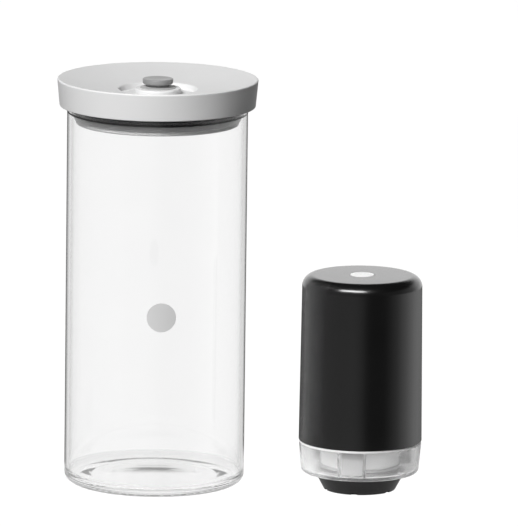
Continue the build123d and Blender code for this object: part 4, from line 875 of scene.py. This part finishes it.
def make_mirror_card():
    """A bright card between the jar and the pump. It keeps the pump out of what the jar mirrors:
    only rays that a surface has mirrored meet it, and only on the side that faces the jar."""
    deselect_all()
    middle, width, height = CARD
    bpy.ops.mesh.primitive_plane_add(
        size=1, location=Vector(middle) * MM, rotation=(0, -math.pi / 2, 0)
    )
    card = bpy.context.object
    card.name = "mirror_card"
    card.scale = Vector((height, width, 1.0)) * MM
    settle(card)
    material, tree, output = empty_material("mirror_card_look")
    material.cycles.emission_sampling = "NONE"
    ray = node(tree, "ShaderNodeLightPath", (-300, 300))
    side = node(tree, "ShaderNodeNewGeometry", (-300, -300))
    mirrored = node(tree, "ShaderNodeMath", (0, 300), operation="GREATER_THAN")
    mirrored.inputs[1].default_value = 0.5  # between never and once
    link(tree, ray.outputs["Glossy Depth"], mirrored.inputs[0])
    shown = node(tree, "ShaderNodeMath", (300, 100), operation="SUBTRACT", use_clamp=True)
    link(tree, mirrored.outputs["Value"], shown.inputs[0])
    link(tree, side.outputs["Backfacing"], shown.inputs[1])
    tone = node(tree, "ShaderNodeMapRange", (0, 0))
    tone.inputs["From Min"].default_value, tone.inputs["From Max"].default_value = WALL_PASSES
    tone.inputs["To Min"].default_value, tone.inputs["To Max"].default_value = CARD_TONES
    link(tree, ray.outputs["Transmission Depth"], tone.inputs["Value"])
    glow = node(tree, "ShaderNodeEmission", (300, -100))
    link(tree, tone.outputs["Result"], glow.inputs["Strength"])
    clear = node(tree, "ShaderNodeBsdfTransparent", (300, -300))
    show_mix(
        tree, output, shown.outputs["Value"], clear.outputs["BSDF"], glow.outputs["Emission"]
    )
    card.data.materials.append(material)
    card.visible_camera = False
    card.visible_diffuse = False
    card.visible_shadow = False


# The floor's side in metres, its height in mm, its glow, and the tones it drifts between
FLOOR_SIZE = 14
FLOOR_HEIGHT = -0.02
FLOOR_GLOW = 1.0
FLOOR_DRIFT_SCALE = 3.0
FLOOR_TONES = 0.05, 0.06
FLOOR_ROUGHNESS = 0.9
# The mirror card's middle, width and height in mm. Its two tones are for rays that come out of one
# wall of the jar, after two passes through its surfaces, and for those that crossed the jar, after
# four.
CARD = (63.0, 0, 102.0), 76.0, 204.0
WALL_PASSES = 2.0, 4.0
CARD_TONES = 0.72, 0.92

# Brightness of the surroundings by direction and by what kind of ray sees them. Each list goes
# once round, from the back over the left, the front and the right to the back again, as (share of
# the turn, brightness). The first is for directions that point down by more than some 8 degrees,
# the second for all above that. The two last values are for overhead and for straight beneath.
SEEN_THROUGH_GLASS = (
    [(0.0, 1.0), (0.022, 0.97), (0.15, 0.96), (0.25, 0.92), (0.5, 0.75), (0.75, 0.92),
     (0.85, 0.97), (1.0, 1.0)],
    [(0.0, 1.0), (0.1, 0.97), (0.25, 0.88), (0.5, 0.7), (0.75, 0.88), (0.9, 0.97), (1.0, 1.0)],
    0.85, 0.9,
)
MIRRORED_IN_GLASS = (
    [(0.0, 0.25), (0.03, 0.4), (0.05, 0.7), (0.07, 0.92), (0.12, 0.96), (0.25, 0.92),
     (0.5, 0.75), (0.75, 0.92), (0.88, 0.96), (0.93, 0.85), (0.95, 0.5), (0.97, 0.15),
     (1.0, 0.25)],
    [(0.0, 1.0), (0.1, 0.97), (0.25, 0.88), (0.5, 0.7), (0.75, 0.88), (0.9, 0.97), (1.0, 1.0)],
    0.85, 0.9,
)
SEEN_BY_GLOSS = (
    [(0.0, 0.03), (0.022, 0.04), (0.053, 0.13), (0.086, 0.28), (0.16, 0.38), (0.2, 0.6),
     (0.25, 0.6), (0.32, 0.53), (0.383, 0.53), (0.46, 0.6), (0.49, 0.5), (0.506, 0.36),
     (0.528, 0.1), (0.544, 0.045), (0.625, 0.045), (0.65, 0.2), (0.686, 0.5), (0.744, 1.2),
     (0.79, 1.5), (0.83, 1.4), (0.86, 0.95), (0.914, 0.45), (0.947, 0.25), (0.978, 0.05),
     (1.0, 0.03)],
    [(0.0, 1.5), (0.12, 1.3), (0.2, 0.4), (0.46, 0.2), (0.55, 0.03), (0.7, 0.2), (0.8, 0.5),
     (0.88, 1.3), (1.0, 1.5)],
    0.02, 0.35,
)
SEEN_BY_MATT = (
    [(0.0, 0.35), (0.1, 0.15), (0.25, 0.05), (0.4, 0.15), (0.5, 0.03), (0.75, 0.02), (0.8, 0.14),
     (0.87, 0.28), (1.0, 0.35)],
    [(0.0, 0.17), (0.1, 0.08), (0.25, 0.03), (0.4, 0.08), (0.5, 0.02), (0.75, 0.01), (0.8, 0.06),
     (0.87, 0.13), (1.0, 0.17)],
    0.03, 0.15,
)


# The tables, each with the ray's number that is above 0 where the table takes over
SURROUNDINGS = [
    (SEEN_THROUGH_GLASS, None),
    (MIRRORED_IN_GLASS, "Glossy Depth"),
    (SEEN_BY_GLOSS, "Is Reflection Ray"),
    (SEEN_BY_MATT, "Diffuse Depth"),
]
# Upward parts of a direction between which the lists, overhead and beneath pass into each other
LIST_STEP = -0.17, -0.12
OVERHEAD_STEP = 0.32, 0.52
BENEATH_STEP = -0.3, -0.55


def step_up(tree, value, low, high, place=(0, 0)):
    """Goes smoothly from 0 to 1 as the value goes from low to high."""
    made = node(tree, "ShaderNodeMapRange", place, interpolation_type="SMOOTHSTEP")
    made.inputs["From Min"].default_value = low
    made.inputs["From Max"].default_value = high
    link(tree, value, made.inputs["Value"])
    return made.outputs["Result"]


def mixed_tone(tree, factor, first, second, place=(0, 0)):
    """A mix of two tones, the second of which may be a number."""
    made = node(tree, "ShaderNodeMix", place, data_type="RGBA", clamp_factor=True)
    link(tree, factor, made.inputs["Factor"])
    link(tree, first, made.inputs["A"])
    if isinstance(second, float):
        made.inputs["B"].default_value = (second, second, second, 1)
    else:
        link(tree, second, made.inputs["B"])
    return made.outputs["Result"]


def make_surroundings():
    world = bpy.data.worlds.new("studio_surroundings")
    bpy.context.scene.world = world
    world.use_nodes = True
    world.cycles.sampling_method = "NONE"
    tree = world.node_tree
    tree.nodes.clear()
    output = node(tree, "ShaderNodeOutputWorld", (1200, 0))
    background = node(tree, "ShaderNodeBackground", (1000, 0))
    link(tree, background.outputs["Background"], output.inputs["Surface"])
    direction = node(tree, "ShaderNodeTexCoord", (-1200, 0))
    parts = node(tree, "ShaderNodeSeparateXYZ", (-1000, 0))
    link(tree, direction.outputs["Generated"], parts.inputs["Vector"])
    back = node(tree, "ShaderNodeMath", (-800, -100), operation="MULTIPLY")
    back.inputs[1].default_value = -1
    link(tree, parts.outputs["Y"], back.inputs[0])
    turn = node(tree, "ShaderNodeMath", (-600, 0), operation="ARCTAN2")
    link(tree, parts.outputs["X"], turn.inputs[0])
    link(tree, back.outputs["Value"], turn.inputs[1])
    share = node(tree, "ShaderNodeMapRange", (-400, 0))
    share.inputs["From Min"].default_value = -math.pi
    share.inputs["From Max"].default_value = math.pi
    link(tree, turn.outputs["Value"], share.inputs["Value"])
    above = step_up(tree, parts.outputs["Z"], *LIST_STEP, (-400, -300))
    overhead = step_up(tree, parts.outputs["Z"], *OVERHEAD_STEP, (-400, -500))
    beneath = step_up(tree, parts.outputs["Z"], *BENEATH_STEP, (-400, -700))
    ray = node(tree, "ShaderNodeLightPath", (-400, 500))
    tone = None
    for number, (table, kind) in enumerate(SURROUNDINGS):
        low_stops, high_stops, top_tone, floor_tone = table
        level = 300 - 400 * number
        low = ramp(tree, share.outputs["Result"], low_stops, (-150, level))
        high = ramp(tree, share.outputs["Result"], high_stops, (-150, level - 200))
        sides = mixed_tone(tree, above, low.outputs["Color"], high.outputs["Color"], (150, level))
        topped = mixed_tone(tree, overhead, sides, top_tone, (350, level))
        whole = mixed_tone(tree, beneath, topped, floor_tone, (500, level))
        if kind:
            whole = mixed_tone(tree, ray.outputs[kind], tone, whole, (700, level))
        tone = whole
    link(tree, tone, background.inputs["Color"])


def add_softbox(name, turn, height, size, strength, diffuse=True, glossy=True):
    """A soft lamp aimed at the set, at a turn from the front to the right and a height, both in
    degrees."""
    turn, height = math.radians(turn), math.radians(height)
    away = Vector((
        math.sin(turn) * math.cos(height), -math.cos(turn) * math.cos(height), math.sin(height)
    ))
    lamp = bpy.data.lights.new(name, "AREA")
    lamp.shape = "RECTANGLE"
    lamp.size, lamp.size_y = size
    lamp.energy = strength
    softbox = bpy.data.objects.new(name, lamp)
    bpy.context.scene.collection.objects.link(softbox)
    softbox.location = SET_MIDDLE + away * LAMP_DISTANCE
    softbox.rotation_euler = away.to_track_quat("Z", "Y").to_euler()
    softbox.visible_diffuse, softbox.visible_glossy = diffuse, glossy
    softbox.visible_transmission = False


def make_camera():
    """The photograph's camera, as fitted to it: far off and slightly raised and rolled."""
    camera = bpy.data.objects.new("photo_camera", bpy.data.cameras.new("photo_camera"))
    bpy.context.scene.collection.objects.link(camera)
    down, roll = math.radians(CAMERA_DOWN), math.radians(CAMERA_ROLL)
    right = Vector((1, 0, 0))
    up = Vector((0, math.sin(down), math.cos(down)))
    ahead = Vector((0, math.cos(down), -math.sin(down)))
    across = math.cos(roll) * right + math.sin(roll) * up
    above = math.cos(roll) * up - math.sin(roll) * right
    turn = Matrix((across, above, -ahead)).transposed().to_4x4()
    eye = CAMERA_TARGET - ahead * CAMERA_DISTANCE + above * CAMERA_RISE
    camera.matrix_world = Matrix.Translation(eye) @ turn
    camera.data.lens = CAMERA_LENS
    camera.data.sensor_width = CAMERA_SENSOR
    camera.data.clip_end = CAMERA_REACH
    bpy.context.scene.camera = camera


# Lengths in metres, angles in degrees, lens and sensor in mm
SET_MIDDLE = Vector((0.05, 0, 0.1))
LAMP_DISTANCE = 2.0
CAMERA_DOWN = 10.67
CAMERA_ROLL = 0.70
CAMERA_DISTANCE = 5.0
CAMERA_TARGET = Vector((0.05546, 0, 0.11))
CAMERA_RISE = 0.009825
CAMERA_LENS = 635.98
CAMERA_SENSOR = 36
CAMERA_REACH = 50
# Light runs up and down inside the glass for many bounces, which keeps the jar's foot bright
GLASS_BOUNCES = 64
CLEAR_BOUNCES = 24

make_floor()
make_near_floor(
    "floor_under_jar", JAR_AXIS, radius=1.5 * JAR_RADIUS, height=-0.01, glow=0.8, fade=0.1,
    lights_up=False,
)
make_mirror_card()
make_near_floor(
    "floor_round_pump", PUMP_AXIS, radius=130, height=-0.015, glow=0.75, fade=0.5, lights_up=True
)
make_surroundings()
make_camera()
add_softbox(
    "overhead_softbox", turn=-28, height=42.5, size=(0.8, 0.25), strength=49.5, glossy=False
)
add_softbox(
    "highlight_card", turn=-20, height=43, size=(1.5, 0.5), strength=70, diffuse=False
)
scene = bpy.context.scene
scene.view_settings.view_transform = "Standard"
scene.cycles.max_bounces = GLASS_BOUNCES
scene.cycles.transmission_bounces = GLASS_BOUNCES
scene.cycles.glossy_bounces = GLASS_BOUNCES
scene.cycles.transparent_max_bounces = CLEAR_BOUNCES
